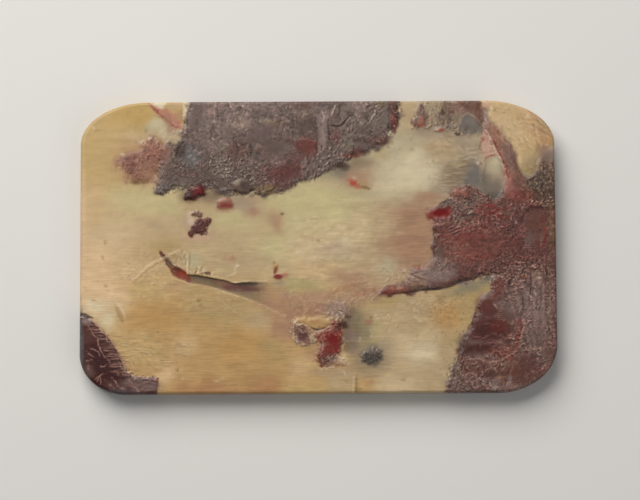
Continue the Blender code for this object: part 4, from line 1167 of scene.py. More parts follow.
    def upper_stains(self) -> list[Spot | Area]:
        """Return the clouds of colour in the upper mountain."""
        patch = (
            (427, 214), (430, 211), (437, 209.5), (445, 208), (451, 209.5), (451, 215), (447, 220),
            (436, 220.5), (429, 219.5),
        )
        block = (
            (526, 214), (534, 210), (541, 213), (543, 228), (541, 244), (530, 248), (524, 240), (525, 226),
        )
        return [
            Spot(545, 184, 15, 19, Stone.BARK, 0.9, 0.9), Spot(534, 182, 10, 9, Stone.NIGHT, 0.5, 1),
            Spot(540, 196, 18, 6, Stone.SHADOW, 0.4, 1), Spot(520, 197, 14, 7, Stone.CRIMSON, 0.45, 0.9),
            Spot(461, 193, 9, 6, Stone.BRICK, 0.8, 0.9, 0, 0, 0.75), Spot(459, 192, 6, 3, Stone.ROSE, 0.4, 1),
            Spot(480, 196, 9, 6, Stone.ASH, 0.6, 0.9), Spot(464, 207, 14, 7, Stone.ASH, 0.7, 0.9),
            Spot(446, 203, 7, 2.4, Stone.BARK, 0.8, 0.6, -20),
            Area(patch, Stone.CRIMSON, 0.95, 6, 2.4, 4, 0.3, 9, 0.2, calm=0.9),
            Spot(441, 213.5, 8, 4, Stone.BLOOD, 0.6, 1), Spot(430, 214, 3, 3, Stone.TERRACOTTA, 0.25, 1),
            Spot(438, 224, 9, 3, Stone.ROSE, 0.5, 0.9), Spot(463, 222, 11, 5, Stone.OLIVE_GREY, 0.5, 1),
            Spot(488, 211, 13, 6, Stone.CRIMSON, 0.5, 0.9), Spot(468, 235, 24, 10, Stone.CLARET, 0.7, 1),
            Spot(446, 236, 10, 9, Stone.MAROON, 0.6, 1, 0, 0, 0.6),
            Spot(440, 253, 6, 9, Stone.BARK, 0.7, 0.8, 0, 0, 0.9),
            Spot(438, 262, 7, 8, Stone.MAUVE_GREY, 0.6, 1),
            Spot(478, 254, 20, 9, Stone.CLARET, 0.8, 1, 0, 0, 0.6),
            Spot(468, 240, 20, 7, Stone.CLARET, 0.4, 1, 4, 0, 0.7),
            Spot(508, 244, 12, 10, Stone.CLARET, 0.6, 1, 0, 0, 0.5),
            Spot(462, 252, 9, 9, Stone.BRICK, 0.5, 1.2), Spot(445, 237, 6, 6, Stone.BRICK, 0.3, 1.2),
            Spot(450, 250, 8, 12, Stone.BRICK, 0.4, 1), Spot(466, 272, 16, 6, Stone.WINE, 0.45, 1),
            Area(block, Stone.MAROON, 0.8, 8, 3, 4, calm=0.8), Spot(529, 240, 6, 8, Stone.MAUVE, 0.6, 1),
            Spot(552, 232, 4, 22, Stone.UMBER, 0.55, 0.9), Spot(536, 206, 8, 6, Stone.CRIMSON, 0.35, 1),
            Spot(536, 260, 20, 14, Stone.WINE, 0.5, 1), Spot(513, 240, 10, 16, Stone.WINE, 0.5, 1),
            Spot(495, 224, 14, 7, Stone.CLARET, 0.6, 1), Spot(428, 276, 17, 8, Stone.MAUVE_LIGHT, 0.8, 1),
            Spot(451, 271, 8, 6, Stone.MAUVE_GREY, 0.6, 1), Spot(418, 280, 9, 5, Stone.ROSE_TAN, 0.6, 1.2),
            Spot(426, 266, 8, 4, Stone.ROSE_TAN, 0.5, 1.2), Spot(418, 268, 6, 3, Stone.TERRACOTTA, 0.5, 1),
            Spot(418, 286, 10, 4, Stone.ROSE_TAN, 0.5, 1), Spot(445, 277, 9, 6, Stone.MAUVE_LIGHT, 0.4, 1),
            Spot(395, 290, 13, 4, Stone.TERRACOTTA, 0.75, 0.8),
            Spot(389, 293, 10, 2.4, Stone.CRIMSON, 0.5, 0.9), Spot(430, 288.6, 16, 2.2, Stone.BARK, 0.7, 0.8),
            Spot(460, 281.5, 10, 2, Stone.SHADOW, 0.6, 0.8, -12),
            Spot(462, 283, 8, 1.4, Stone.VIOLET, 0.45, 0.9, -8), Spot(489, 278, 7, 3.4, Stone.SLATE, 0.6, 1),
            Spot(492, 276, 3, 2, Stone.PALE_LIGHT, 0.4), Spot(534, 276, 9, 5, Stone.GREY_TAN, 0.5, 1),
            Spot(538, 278, 3, 1.6, Stone.PALE_LIGHT, 0.6), Spot(525, 277.5, 4, 1.6, Stone.BRIGHT_RED, 0.4),
            Spot(511, 266, 8, 13, Stone.WINE, 0.6, 1), Spot(500, 288, 6, 10, Stone.CRIMSON, 0.4, 1),
            Spot(530, 285, 14, 6, Stone.MAUVE_GREY, 0.35, 1.2),
        ]

    def lower_stains(self) -> list[Spot | Area]:
        """Return the clouds of colour in the lower rock."""
        wine = (
            (472, 322), (482, 318), (496, 318), (508, 322), (510, 334), (503, 341), (486, 341), (470, 340),
        )
        plum = ((461, 343), (476, 343), (490, 346), (489, 354), (474, 356), (458, 356))
        return [
            Spot(536, 308, 24, 26, Stone.MAUVE_LIGHT, 0.65, 1), Spot(540, 343, 22, 20, Stone.MAUVE, 0.5, 1),
            Spot(539, 320, 8, 9, Stone.MAUVE_GREY, 0.3, 1, 0, 0, 0.7),
            Spot(524, 298, 6, 9, Stone.MAUVE, 0.4, 1, 0, 0, 0.7),
            Spot(541, 296, 5, 10, Stone.MAUVE_GREY, 0.3, 1, 0, 0, 0.7),
            Spot(540, 338, 9, 6, Stone.MAUVE, 0.4, 1, 0, 0, 0.6),
            Spot(528, 363, 10, 7, Stone.MAROON, 0.5, 1, 0, 0, 0.7),
            Spot(507, 314, 6, 9, Stone.BARK, 0.5, 1, 0, 0, 0.7),
            Spot(508, 298, 9, 12, Stone.MAUVE_GREY, 0.55, 1), Spot(500, 306, 9, 5, Stone.MAUVE_LIGHT, 0.4, 1),
            Spot(486, 308, 11, 9, Stone.WINE, 0.8, 0.8, 20, 0, 0.8),
            Spot(486, 306, 7, 5, Stone.CRIMSON, 0.15, 1), Spot(480, 342, 15, 4, Stone.WINE, 0.6, 1),
            Area(wine, Stone.WINE, 0.95, 5, 2.4, 6, calm=0.85),
            Spot(489, 331, 14, 9, Stone.DEEP_PLUM, 0.45, 1), Spot(497, 327, 9, 6, Stone.CRIMSON, 0.4, 1),
            Area(plum, Stone.PLUM, 0.85, 4, 2, 5, calm=0.85), Spot(464, 342, 8, 7, Stone.BARK, 0.5, 1),
            Spot(475, 343, 7, 3, Stone.MAUVE_GREY, 0.35, 1), Spot(502, 352, 13, 6, Stone.CRIMSON, 0.4, 1),
            Spot(519.6, 326, 2.4, 8, Stone.CRIMSON, 0.7, 1),
            Spot(517, 341, 2.6, 9, Stone.CRIMSON, 0.45, 1, 12),
            Spot(519, 333, 1.6, 12, Stone.BLOOD, 0.4, 1, 6),
            Spot(531, 386, 9, 4, Stone.MAUVE_LIGHT, 0.8, 1, -20),
            Spot(546, 373, 5, 6, Stone.MAUVE_LIGHT, 0.7, 1, 30),
            Spot(482, 296, 5, 5, Stone.MAUVE_LIGHT, 0.4, 1),
            Spot(508, 358, 4.4, 2.2, Stone.BRIGHT_RED, 0.4, 1),
            Spot(509, 370, 10, 8, Stone.RUST_TAN, 0.2, 1.2),
            Spot(522, 374, 20, 10, Stone.WINE, 0.6, 1, 0, 0, 0.5), Spot(480, 370, 24, 10, Stone.WINE, 0.5, 1),
            Spot(470, 385, 20, 8, Stone.MAUVE, 0.6, 1), Spot(488, 386, 5, 3.5, Stone.ROSE, 0.6, 0.9),
            Spot(500, 377, 4, 2, Stone.OCHRE, 0.45, 1.2),
            Spot(509.5, 380, 2.6, 4.5, Stone.MAUVE_LIGHT, 0.8, 0.9),
            Spot(495, 387, 5, 4, Stone.SLATE, 0.5, 1), Spot(544, 369, 5, 2.6, Stone.CRIMSON, 0.6, 0.9),
            Spot(538, 378, 14, 7, Stone.MAROON, 0.6, 1, -20, 0, 0.6),
            Spot(552, 350, 7, 18, Stone.MAROON, 0.45, 1), Spot(512, 388, 18, 4, Stone.MAUVE_GREY, 0.6, 1),
            Spot(536, 386, 9, 4, Stone.MAUVE_LIGHT, 0.5, 1), Spot(493, 382, 8, 5, Stone.MAUVE_GREY, 0.4, 1),
            Spot(528, 356, 12, 6, Stone.WINE, 0.5, 1), Spot(456, 376, 6, 14, Stone.ASH, 0.5, 1),
            Spot(478, 356, 15, 4, Stone.MAUVE_GREY, 0.45, 1.2), Spot(552, 300, 6, 30, Stone.MAROON, 0.35, 1),
        ]

    def textures(self) -> list:
        """Return the mountain's foliage and broken rock."""
        pale, pink, dark, plum = Stone.PALE_LIGHT, Stone.PINK_LIGHT, Stone.SHADOW, Stone.PLUM
        upper = (
            (452, 192), (470, 186), (490, 198), (508, 196), (530, 200), (554, 200), (554, 262), (520, 268),
            (496, 274), (460, 282), (448, 266), (436, 262), (436, 226), (448, 206),
        )
        swirled = (
            (470, 206), (512, 202), (524, 214), (524, 246), (500, 262), (456, 264), (438, 246), (438, 224),
        )
        leafy = ((530, 178), (540, 166), (557, 162), (558, 206), (530, 202), (522, 188))
        rough = ((450, 202), (470, 196), (490, 198), (484, 214), (478, 226), (456, 227), (450, 216))
        ledge = ((408, 284), (412, 272), (434, 264), (452, 262), (458, 281), (430, 290))
        chiselled = (
            (500, 276), (556, 262), (558, 350), (530, 352), (514, 330), (508, 300),
        )
        lower = (
            (494, 272), (556, 262), (558, 350), (548, 376), (520, 392), (450, 394), (454, 374), (461, 350),
            (474, 322), (480, 304), (490, 294),
        )
        foot = ((454, 358), (500, 356), (550, 352), (548, 376), (520, 392), (448, 394))
        return [
            Bands(swirled, 7.5, -10, Stone.CRIMSON, plum, 0.45, 0.09, 1.5, 80),
            Crags(upper, 6.5, 1.6, -18, 0.072, Stone.ROSE, plum, 0.13, 0.24, 81),
            Leaves(upper, 3.4, 4.8, 0.9, -10, 34, 0.045, Stone.ROSE, plum, 0.75, 0.26, 0.4, 82, 0.3, 60,
                   0.25), Leaves(upper, 3.6, 2.2, 0.85, 0, 48, 0.04, pale, dark, 0.4, 0.22, 0.4, 90, 0.5, 40),
            Leaves(rough, 2.8, 2.4, 0.8, -20, 44, 0.04, pale, dark, 0.4, 0.28, 0.4, 91, 0.4, 50, 0.4),
            Leaves(leafy, 3, 2.6, 0.95, -60, 50, 0.05, Stone.SAND, Stone.SHADOW, 0.75, 0.4, 0.4, 83, 0.9, 40,
                   0.5),
            Leaves(ledge, 3, 3.2, 0.85, -25, 20, 0.035, pale, Stone.BARK, 0.5, 0.2, 0.2, 84, 0.3),
            Bands(chiselled, 7, 80, Stone.MAUVE_LIGHT, Stone.MAROON, 0.35, 0.08, 0.5, 92),
            Crags(lower, 7.5, 1.5, 70, 0.096, Stone.MAUVE_LIGHT, plum, 0.13, 0.22, 85),
            Leaves(chiselled, 4.2, 4.2, 0.95, 86, 20, 0.035, pale, dark, 0.4, 0.24, 0.25, 93, 0.35, 30, 0.2),
            Leaves(lower, 3.6, 4.6, 0.85, -4, 24, 0.04, pink, plum, 0.65, 0.24, 0.25, 86, 0.3, 30, 0.2),
            Leaves(lower, 4, 2.6, 0.85, 0, 48, 0.04, pale, dark, 0.42, 0.22, 0.4, 94, 0.4, 40),
            Leaves(foot, 4, 4, 0.9, 70, 34, 0.035, pale, dark, 0.42, 0.22, 0.35, 87, 0.35),
        ]

    def veins(self) -> list:
        """Return the single ridges, cracks and flecks of the mountain; the pale ridges carry painted
        highlight and the dark cracks painted shade.
        """
        light, dark, red = Stone.PINK_LIGHT, Stone.SHADOW, Stone.CRIMSON
        return [
            Stroke(((440, 205), (449, 200), (455, 201)), 1.4, dark, 0.6, -0.1),
            Stroke(((453, 199), (459, 197), (466, 199), (474, 204)), 1.1, dark, 0.5, -0.1, True, 1.4),
            Stroke(((483, 206), (490, 204), (496, 210), (488, 214), (483, 211)), 1.6, red, 0.7, 0.08),
            Stroke(((484, 208), (490, 206), (494, 210)), 0.8, Stone.BRIGHT_RED, 0.5),
            Stroke(((496, 214), (503, 219), (509, 218)), 1.4, red, 0.7, 0.08),
            Stroke(((432, 222), (440, 226), (446, 223), (452, 226)), 1, light, 0.4, 0.08),
            Stroke(((544, 214), (542, 224), (545, 234), (544, 244), (541, 250)),
                   1.7, red, 0.7, 0.05, True, 1.4),
            Stroke(((521, 226), (523, 215), (530, 209), (539, 208), (546, 212)),
                   1.3, Stone.DEEP_PLUM, 0.6, -0.06, True, 1.2),
            Stroke(((546, 226), (544, 234)), 0.9, Stone.BRIGHT_RED, 0.6),
            Spot(516, 223, 1.2, 1.2, Stone.PALE_LIGHT, 0.6, 0.5, 0, 0.06), Spot(458, 227, 2.6, 1, light, 0.6),
            Spot(485, 232, 3, 2, Stone.TERRACOTTA, 0.4), Spot(470, 216, 5, 3, dark, 0.45, 0.9),
            Spot(470, 213, 3, 1.2, Stone.PALE_LIGHT, 0.5, 0.6, -30),
            Stroke(((434, 228), (434, 245), (433, 262)), 0.9, dark, 0.4, -0.08, True, 0.8),
            Stroke(((410, 274), (420, 279), (432, 282)), 1, dark, 0.3, -0.08),
            Stroke(((434, 276), (444, 272), (453, 273)), 1, light, 0.35, 0.08),
            Stroke(((389, 294.5), (407, 293), (424, 290.5), (439, 289.5), (452, 286.5)),
                   1.4, dark, 0.55, -0.1),
            Stroke(((456, 283), (471, 280), (484, 275.5), (494, 273)), 1.2, dark, 0.45, -0.1),
            Stroke(((530.3, 273), (530.6, 284), (530, 296)), 1.5, dark, 0.6, -0.15),
            Stroke(((546.4, 265), (546.6, 275), (546, 284)), 1.3, dark, 0.5, -0.12),
            Stroke(((522.3, 296), (523, 304), (522, 311)), 1.3, dark, 0.5, -0.12),
            Stroke(((540, 286), (541, 298), (539, 312)), 1.2, dark, 0.4, -0.12),
            Stroke(((512, 276), (509, 286), (511, 298)), 2.4, dark, 0.4, -0.14),
            Stroke(((497, 276), (502, 284), (497, 294), (490, 298)), 1.4, red, 0.5, 0.06),
            Stroke(((522, 318), (525, 324), (522, 332), (519, 344), (513, 356)), 1, light, 0.35, 0.08),
            Stroke(((489.7, 333.6), (501, 336.7), (505, 338), (512.7, 336)),
                   0.7, light, 0.4, 0.05, True, 1.6),
            Stroke(((520, 351), (536, 349), (551, 346.6)), 1, light, 0.4, 0.08),
            Stroke(((462, 360.4), (478, 359), (489, 362), (498, 361), (516, 352)), 1.1, light, 0.45, 0.1),
            Stroke(((470, 335), (482, 338), (492, 336)), 0.7, light, 0.35, 0.05, True, 1.6),
            Stroke(((476, 326), (488, 324), (500, 327)), 0.8, light, 0.25, 0.06),
            Stroke(((460, 343), (464, 350), (461, 358)), 1.3, dark, 0.4, -0.12),
            Stroke(((463, 378), (468, 373), (475, 375), (477, 382)), 1.1, light, 0.4, 0.1),
            Stroke(((484, 372), (491, 368), (497, 372)), 1.1, light, 0.35, 0.1),
            Stroke(((493, 304), (497, 309)), 1.2, Stone.PALE_LIGHT, 0.4, 0.1),
            Stroke(((448, 392), (452, 380), (455, 368), (459, 354)), 1.2, dark, 0.35, -0.06),
            Stroke(((466, 332), (473, 320), (477, 306)), 1.4, dark, 0.45, -0.08),
            Stroke(((510, 356), (512, 366), (509, 376)), 1, Stone.TERRACOTTA, 0.35, 0.06),
            Stroke(((539, 300), (541, 310), (538, 320)), 1.2, Stone.MAUVE_LIGHT, 0.35, 0.08),
        ]


@dataclass
class CornerRock:
    """The dark plum rock in the bottom left corner, with its engraved lines."""

    rise: float = 0.42
    outline: Points = (
        (66, 314), (80, 314.5), (88, 317.5), (93.5, 322), (99.5, 328.5), (105.5, 334.5), (111, 341),
        (116.5, 349), (120.5, 357), (124, 366), (128, 372), (132, 375.8), (140, 377.2), (150, 377.4),
        (157, 378.8), (158, 386), (157, 396), (156, 408), (66, 408),
    )

    def carve(self, sheet: Sheet) -> None:
        """Carve the rock, its rim, its veil of short lines and its engraved branches."""
        Area(self.outline, Stone.PLUM, 1.0, 2.0, 0.6, 4, self.rise, 3.0, 0.1, 0, 6, 0.1).draw(sheet)
        for mark in (
            Spot(92, 335, 10, 10, Stone.MAROON, 0.4, 1.2), Spot(87, 321.6, 5, 3.4, Stone.MAUVE_LIGHT, 0.9, 1),
            Spot(89, 372, 6, 8, Stone.MAUVE_GREY, 0.3, 1.2), Spot(87, 350, 5, 16, Stone.MAROON, 0.3, 1.2),
            Spot(116, 386, 13, 5, Stone.MAUVE, 0.4, 1.2), Spot(130, 381, 6, 4, Stone.MAUVE_GREY, 0.5, 1.2),
            Spot(110, 368, 14, 12, Stone.DEEP_PLUM, 0.7, 1.2), Spot(94, 352, 9, 9, Stone.DEEP_PLUM, 0.5, 1.2),
            Spot(143, 386, 18, 8, Stone.MAUVE_GREY, 0.6, 1), Spot(87, 373, 6, 7, Stone.MAUVE, 0.4, 1.2),
            Spot(150, 385, 8, 5, Stone.MAUVE_LIGHT, 0.3, 1),
            # The slate-blue strips along the left and bottom edges are painted reflection on the rounded
            # edge, and the pale dot at x 91 is a painted highlight on the rim
            Spot(80.5, 350, 3.2, 38, Stone.SLATE_BLUE, 0.75, 0.9),
            Spot(89, 385, 14, 3, Stone.SLATE_BLUE, 0.5, 1, 42),
            Spot(112, 392, 24, 2.4, Stone.SLATE_BLUE, 0.5, 1),
            Spot(86, 316, 7, 1.6, Stone.SHADOW, 0.8, 0.7, 18),
            Spot(91, 319.4, 1.6, 1.1, Stone.PALE_LIGHT, 0.6),
        ):
            mark.draw(sheet)
        veil = (
            (88, 318), (95, 325), (104, 334), (112, 343), (120, 355), (126, 367), (134, 376), (126, 376),
            (112, 374), (112, 362), (104, 350), (100, 338), (92, 328),
        )
        Leaves(veil, 2.5, 6.0, 0.62, 0, 3, 0.02, Stone.PINK_LIGHT, Stone.SHADOW, 0.85, 0.25, 0.02, 110, 0.0,
               4, 0.6).draw(sheet)
        strip = ((132, 380), (156, 381), (156, 392), (136, 391))
        Leaves(strip, 2.6, 4.5, 0.72, 0, 4, 0.02, Stone.MAUVE_LIGHT, Stone.PLUM, 0.5, 0.15, 0.02, 104, 0.0, 5,
               0.5).draw(sheet)
        light = Stone.PINK_LIGHT
        rim = (
            (89, 318.5), (93.5, 322), (99.5, 328.5), (111, 341), (120.5, 357), (128, 372), (133, 376.3),
            (146, 377.8), (157, 379.2),
        )
        branches = (
            ((87, 325), (92, 332), (98, 339), (99.5, 346), (101, 351), (106, 357), (112, 364)),
            ((87, 346), (93, 349), (98, 352), (100, 357)), ((87, 352), (91, 355), (95, 358)),
            ((85, 361), (89, 360), (93, 359)), ((88, 364), (89, 370)), ((100, 365), (103, 367), (108, 364)),
            ((111, 375), (115, 381), (120, 387), (127, 390.5)), ((104, 379), (110, 384), (116, 389)),
            ((94, 381), (101, 375), (107, 373)), ((101, 376), (101.5, 385)), ((97, 383), (101, 376)),
            ((129, 380), (133, 385), (139, 390)), ((136, 390), (141, 393)),
            ((120, 364), (123, 369), (127, 372)),
        )
        Stroke(rim, 0.8, Stone.PINK_LIGHT, 0.6, 0.04, False, 1.4).draw(sheet)
        Stroke(((78, 317.8), (84, 318)), 0.8, Stone.PALE_LIGHT, 0.7, 0.0).draw(sheet)
        crest = (
            (89, 316), (101, 327), (121, 354), (132, 373), (158, 375), (158, 380), (130, 379), (108, 343),
            (90, 322),
        )
        Leaves(crest, 2.4, 1.3, 0.7, 10, 30, 0.06, Stone.PALE_LIGHT, Stone.SHADOW, 0.6, 0.2, 0.1, 105, 0.5,
               10, 0.4).draw(sheet)
        for branch in branches:
            Stroke(branch, 0.52, light, 0.8, -0.04, True, 0.9).draw(sheet)


@dataclass
class Boat:
    """The boat: its dark sunken hull, its red prow, the pole laid across it and the figure in its bow."""

    depth: float = -0.38
    prow: Points = (
        (159.5, 251.5), (162, 252), (165.5, 257), (169, 262), (174.6, 267.4), (181.7, 269.6), (187, 273.6),
        (191, 277), (192, 283.8), (184, 280.6), (175.6, 278), (170, 269.6), (165, 261.5), (160, 255.3),
    )
    deck: Points = (
        (187, 274.6), (198, 275.7), (207, 277.2), (216.4, 279.3), (224.6, 280.5), (234.8, 284), (242, 282.9),
        (256.2, 282.3), (268, 283), (280, 288),
    )
    keel: Points = (
        (188, 283), (200, 284.6), (208, 286.2), (218.5, 289), (229.7, 293), (240, 296), (250, 299.2),
        (260.3, 303.3), (267.4, 306.3), (276.6, 311.4), (284, 315),
    )
    pole: Points = (
        (178, 252.4), (172, 254.6), (167, 257.3), (162, 260), (151, 265.5), (141, 274), (133, 281),
    )

    def carve(self, sheet: Sheet) -> None:
        """Carve the boat."""
        Spot(194, 260, 12, 9, Stone.OLIVE_CREAM, 0.4, 1.0).draw(sheet)
        Spot(194, 259, 6, 8, Stone.GREY_CREAM, 0.5, 0.7).draw(sheet)
        cabin = ((168, 256), (186, 252), (189, 273), (181, 268), (174, 264))
        Leaves(cabin, 2.4, 1.8, 0.8, 40, 50, 0.025, Stone.PALE_LIGHT, Stone.UMBER, 0.75, 0.1, 0.2, 93,
               0.3).draw(sheet)
        deck = ((189, 266), (200, 266), (206, 270), (222, 276), (206, 277), (189, 275))
        Leaves(deck, 2.8, 1.8, 0.9, 20, 50, 0.03, Stone.PALE_LIGHT, Stone.UMBER, 0.6, 0.1, 0.1, 106,
               0.3).draw(sheet)
        self.sink_hull(sheet)
        Area(self.prow, Stone.RUSSET, 0.9, 2.6, 0.5, 4, self.depth, 3.0, 0.05).draw(sheet)
        for mark in self.colours():
            mark.draw(sheet)
        Stroke(self.pole, 1.9, Stone.BISCUIT, 0.45, 0.10, False, 0.5).draw(sheet)
        # A pale line above the pole and an umber line below it: painted highlight and painted shade
        Stroke([(x + 0.2, y - 1.3) for x, y in self.pole], 0.7, Stone.PALE_LIGHT, 0.4, 0.0, True,
               0.9).draw(sheet)
        Stroke([(x + 0.8, y + 1.6) for x, y in self.pole], 0.7, Stone.UMBER, 0.28, 0.0, True, 0.9).draw(sheet)
        for mark in self.fittings():
            mark.draw(sheet)

    def sink_hull(self, sheet: Sheet) -> None:
        """Cut the hull in under its deck, run it out to its keel line and fade it towards the stern, with
        painted shade darkest under the deck.
        """
        where = sheet.window(np.array((187, 272)), np.array((284, 318)), 4)
        x, y = sheet.x[where], sheet.y[where]
        deck = np.interp(x, *zip(*self.deck))
        keel = np.interp(x, *zip(*self.keel))
        down = (y - deck) / (keel - deck)
        inside = ease((y - deck) / 1.2 + 0.4) * ease((keel - y) / 2.0 + 0.5) * ease((x - 186) / 3)
        fading = 1 - ease((x - 244) / 32)
        bow = ease((226 - x) / 12)
        # The hull colours are laid strongest near the deck and fade towards the keel, and the shade line
        # darkens most under the deck: painted shade under the deck edge, over the hull's own olive and grey
        sheet.lay(where, inside * bow * (1.0 - 0.35 * ease(down)), Stone.HULL_OLIVE)
        sheet.lay(where, inside * (1 - bow) * fading * (0.95 - 0.5 * ease(down)), Stone.HULL_GREY)
        sheet.lay(where, inside * (1 - bow) * (1 - fading) * 0.35, Stone.ROSE_TAN)
        sheet.shade(where, -inside * fading * (0.1 + 0.2 * np.exp(-2.5 * np.clip(down, 0, 1))))
        sunk = self.depth * fading * (1 - 0.85 * ease(down))
        sheet.height[where] += (sunk - sheet.height[where]) * inside * fading

    def colours(self) -> list:
        """Return the colours inside the hull, the dark line of painted shade under its deck edge and the pale
        lines of painted highlight along its edges.
        """
        dark = Stone.SHADOW
        return [
            Spot(165, 258, 5, 3, Stone.BARK, 0.7, 0.8, 50), Spot(168.5, 263, 3, 5, Stone.BARK, 0.6, 0.8, -40),
            Spot(169.5, 264, 0.9, 5, Stone.SAND, 0.5, 0.8, -38),
            Spot(182, 274.4, 6, 3.4, Stone.BRICK_RED, 0.85, 0.9, 38),
            Spot(176.6, 271, 3.4, 4, Stone.WINE, 0.5, 0.9),
            Spot(189, 279.4, 4, 3.4, Stone.RUSSET, 0.5, 1, 20),
            Spot(240, 288.4, 19, 3.4, Stone.WINE, 0.85, 1, 4),
            # The dark spot at x 248 and the dark stroke along the deck below are painted shade under the deck
            # edge
            Spot(224, 284, 11, 2.6, Stone.RUSSET, 0.5, 1, 14), Spot(248, 284.8, 12, 1.3, dark, 0.6, 0.9, -2),
            Spot(247, 294, 11, 2.6, Stone.HULL_GREY, 0.5, 1, 14),
            Stroke(((187, 274.5), (198, 276), (207, 277.6), (216, 279.6), (224, 281), (234, 284.4),
                   (242, 283.4), (256, 282.9)), 0.8, dark, 0.4, -0.04, True, 0.8),
            Stroke(((163, 254), (167, 260), (174.4, 267), (182, 270), (187, 273.6)), 0.9, dark, 0.5, -0.03),
            Stroke(((160, 252), (166, 259)), 1.1, Stone.MAROON, 0.7),
            # The pale strokes from here down are painted highlight along the keel and the deck edge
            Stroke(((210, 287.4), (218.5, 290), (229.7, 294), (240, 297.2), (250, 300.4)),
                   0.7, Stone.PALE_LIGHT, 0.5, 0.03, True, 0.6),
            Stroke(((246, 299.2), (260.3, 304.4), (267.4, 307.6), (276.6, 312.6), (290, 319)),
                   0.7, Stone.PALE_LIGHT, 0.32, 0.03, True, 0.9),
            Stroke(((175, 279.4), (184, 282), (192, 285), (202, 286.4)), 0.7, Stone.CREAM, 0.3, 0.02),
            Stroke(((229, 282.6), (235, 283), (242, 281.6), (254, 281.2)), 0.7, Stone.PALE_LIGHT, 0.45, 0.03),
            Stroke(((255, 281.4), (264, 281.4), (271, 277.5)), 0.8, Stone.PALE_LIGHT, 0.3, 0.03),
        ]

    def fittings(self) -> list:
        """Return the cabin's post, the ropes and the figure's plain shape."""
        return [
            Stroke(((187.3, 262), (187.3, 268), (187.4, 274.6)), 0.8, Stone.PALE_LIGHT, 0.6, 0.04, False,
                   0.2),
            Stroke(((187.6, 253), (187.8, 258), (187.4, 263)), 0.7, Stone.PALE_LIGHT, 0.3, 0.03, True, 0.3),
            Stroke(((184.4, 254), (185.8, 264)), 0.7, Stone.UMBER, 0.4, -0.03, False),
            Stroke(((189.6, 254), (189.8, 262), (189.4, 268)), 0.7, Stone.UMBER, 0.45, -0.03, False),
            Stroke(((190, 253), (197, 251.5), (203, 252)), 0.7, Stone.PALE_LIGHT, 0.25, 0.03),
            Stroke(((201, 254), (201.5, 262), (200, 267)), 0.7, Stone.SAND, 0.4, 0.02),
            Spot(202, 273.8, 1.8, 0.9, Stone.UMBER, 0.7),
            Spot(207.6, 273.4, 3.2, 1.4, Stone.SHADOW, 0.65, 0.8), Spot(197, 275, 3, 0.8, Stone.UMBER, 0.4),
            Spot(205, 271.6, 2, 0.7, Stone.PALE_LIGHT, 0.4),
            Stroke(((226, 277), (233, 275), (236, 271.6), (234.8, 268.6), (236.8, 266), (240, 266)),
                   0.7, Stone.PALE_LIGHT, 0.55, 0.03), Spot(237.4, 265.8, 1.6, 0.9, Stone.PALE_LIGHT, 0.6),
            Stroke(((241, 272), (244, 277), (246, 280)), 0.8, Stone.OLIVE, 0.4, -0.02),
            Spot(274, 265.2, 1.2, 4, Stone.AMBER, 0.8, 0.7, 4, 0.04),
            Spot(275.4, 270.6, 1.8, 4, Stone.RUSSET, 0.85, 0.6, 8, 0.06),
            Spot(277.6, 267.4, 0.9, 4, Stone.TERRACOTTA, 0.6, 0.7, 4),
            Spot(274, 262.6, 1.2, 1.4, Stone.UMBER, 0.6),
            Stroke(((269.5, 277), (277.7, 274.7), (285, 272.7)), 1.1, Stone.PINK_LIGHT, 0.85, 0.05),
            Spot(278.6, 277.2, 4.4, 2.6, Stone.CRIMSON, 0.9, 0.6, -4, 0.05),
            Spot(285.4, 275.4, 4, 2.2, Stone.SALMON, 0.8, 0.8, 0, 0.03),
            Spot(280, 283.6, 5, 3.6, Stone.MAUVE_GREY, 0.4, 1.2),
        ]


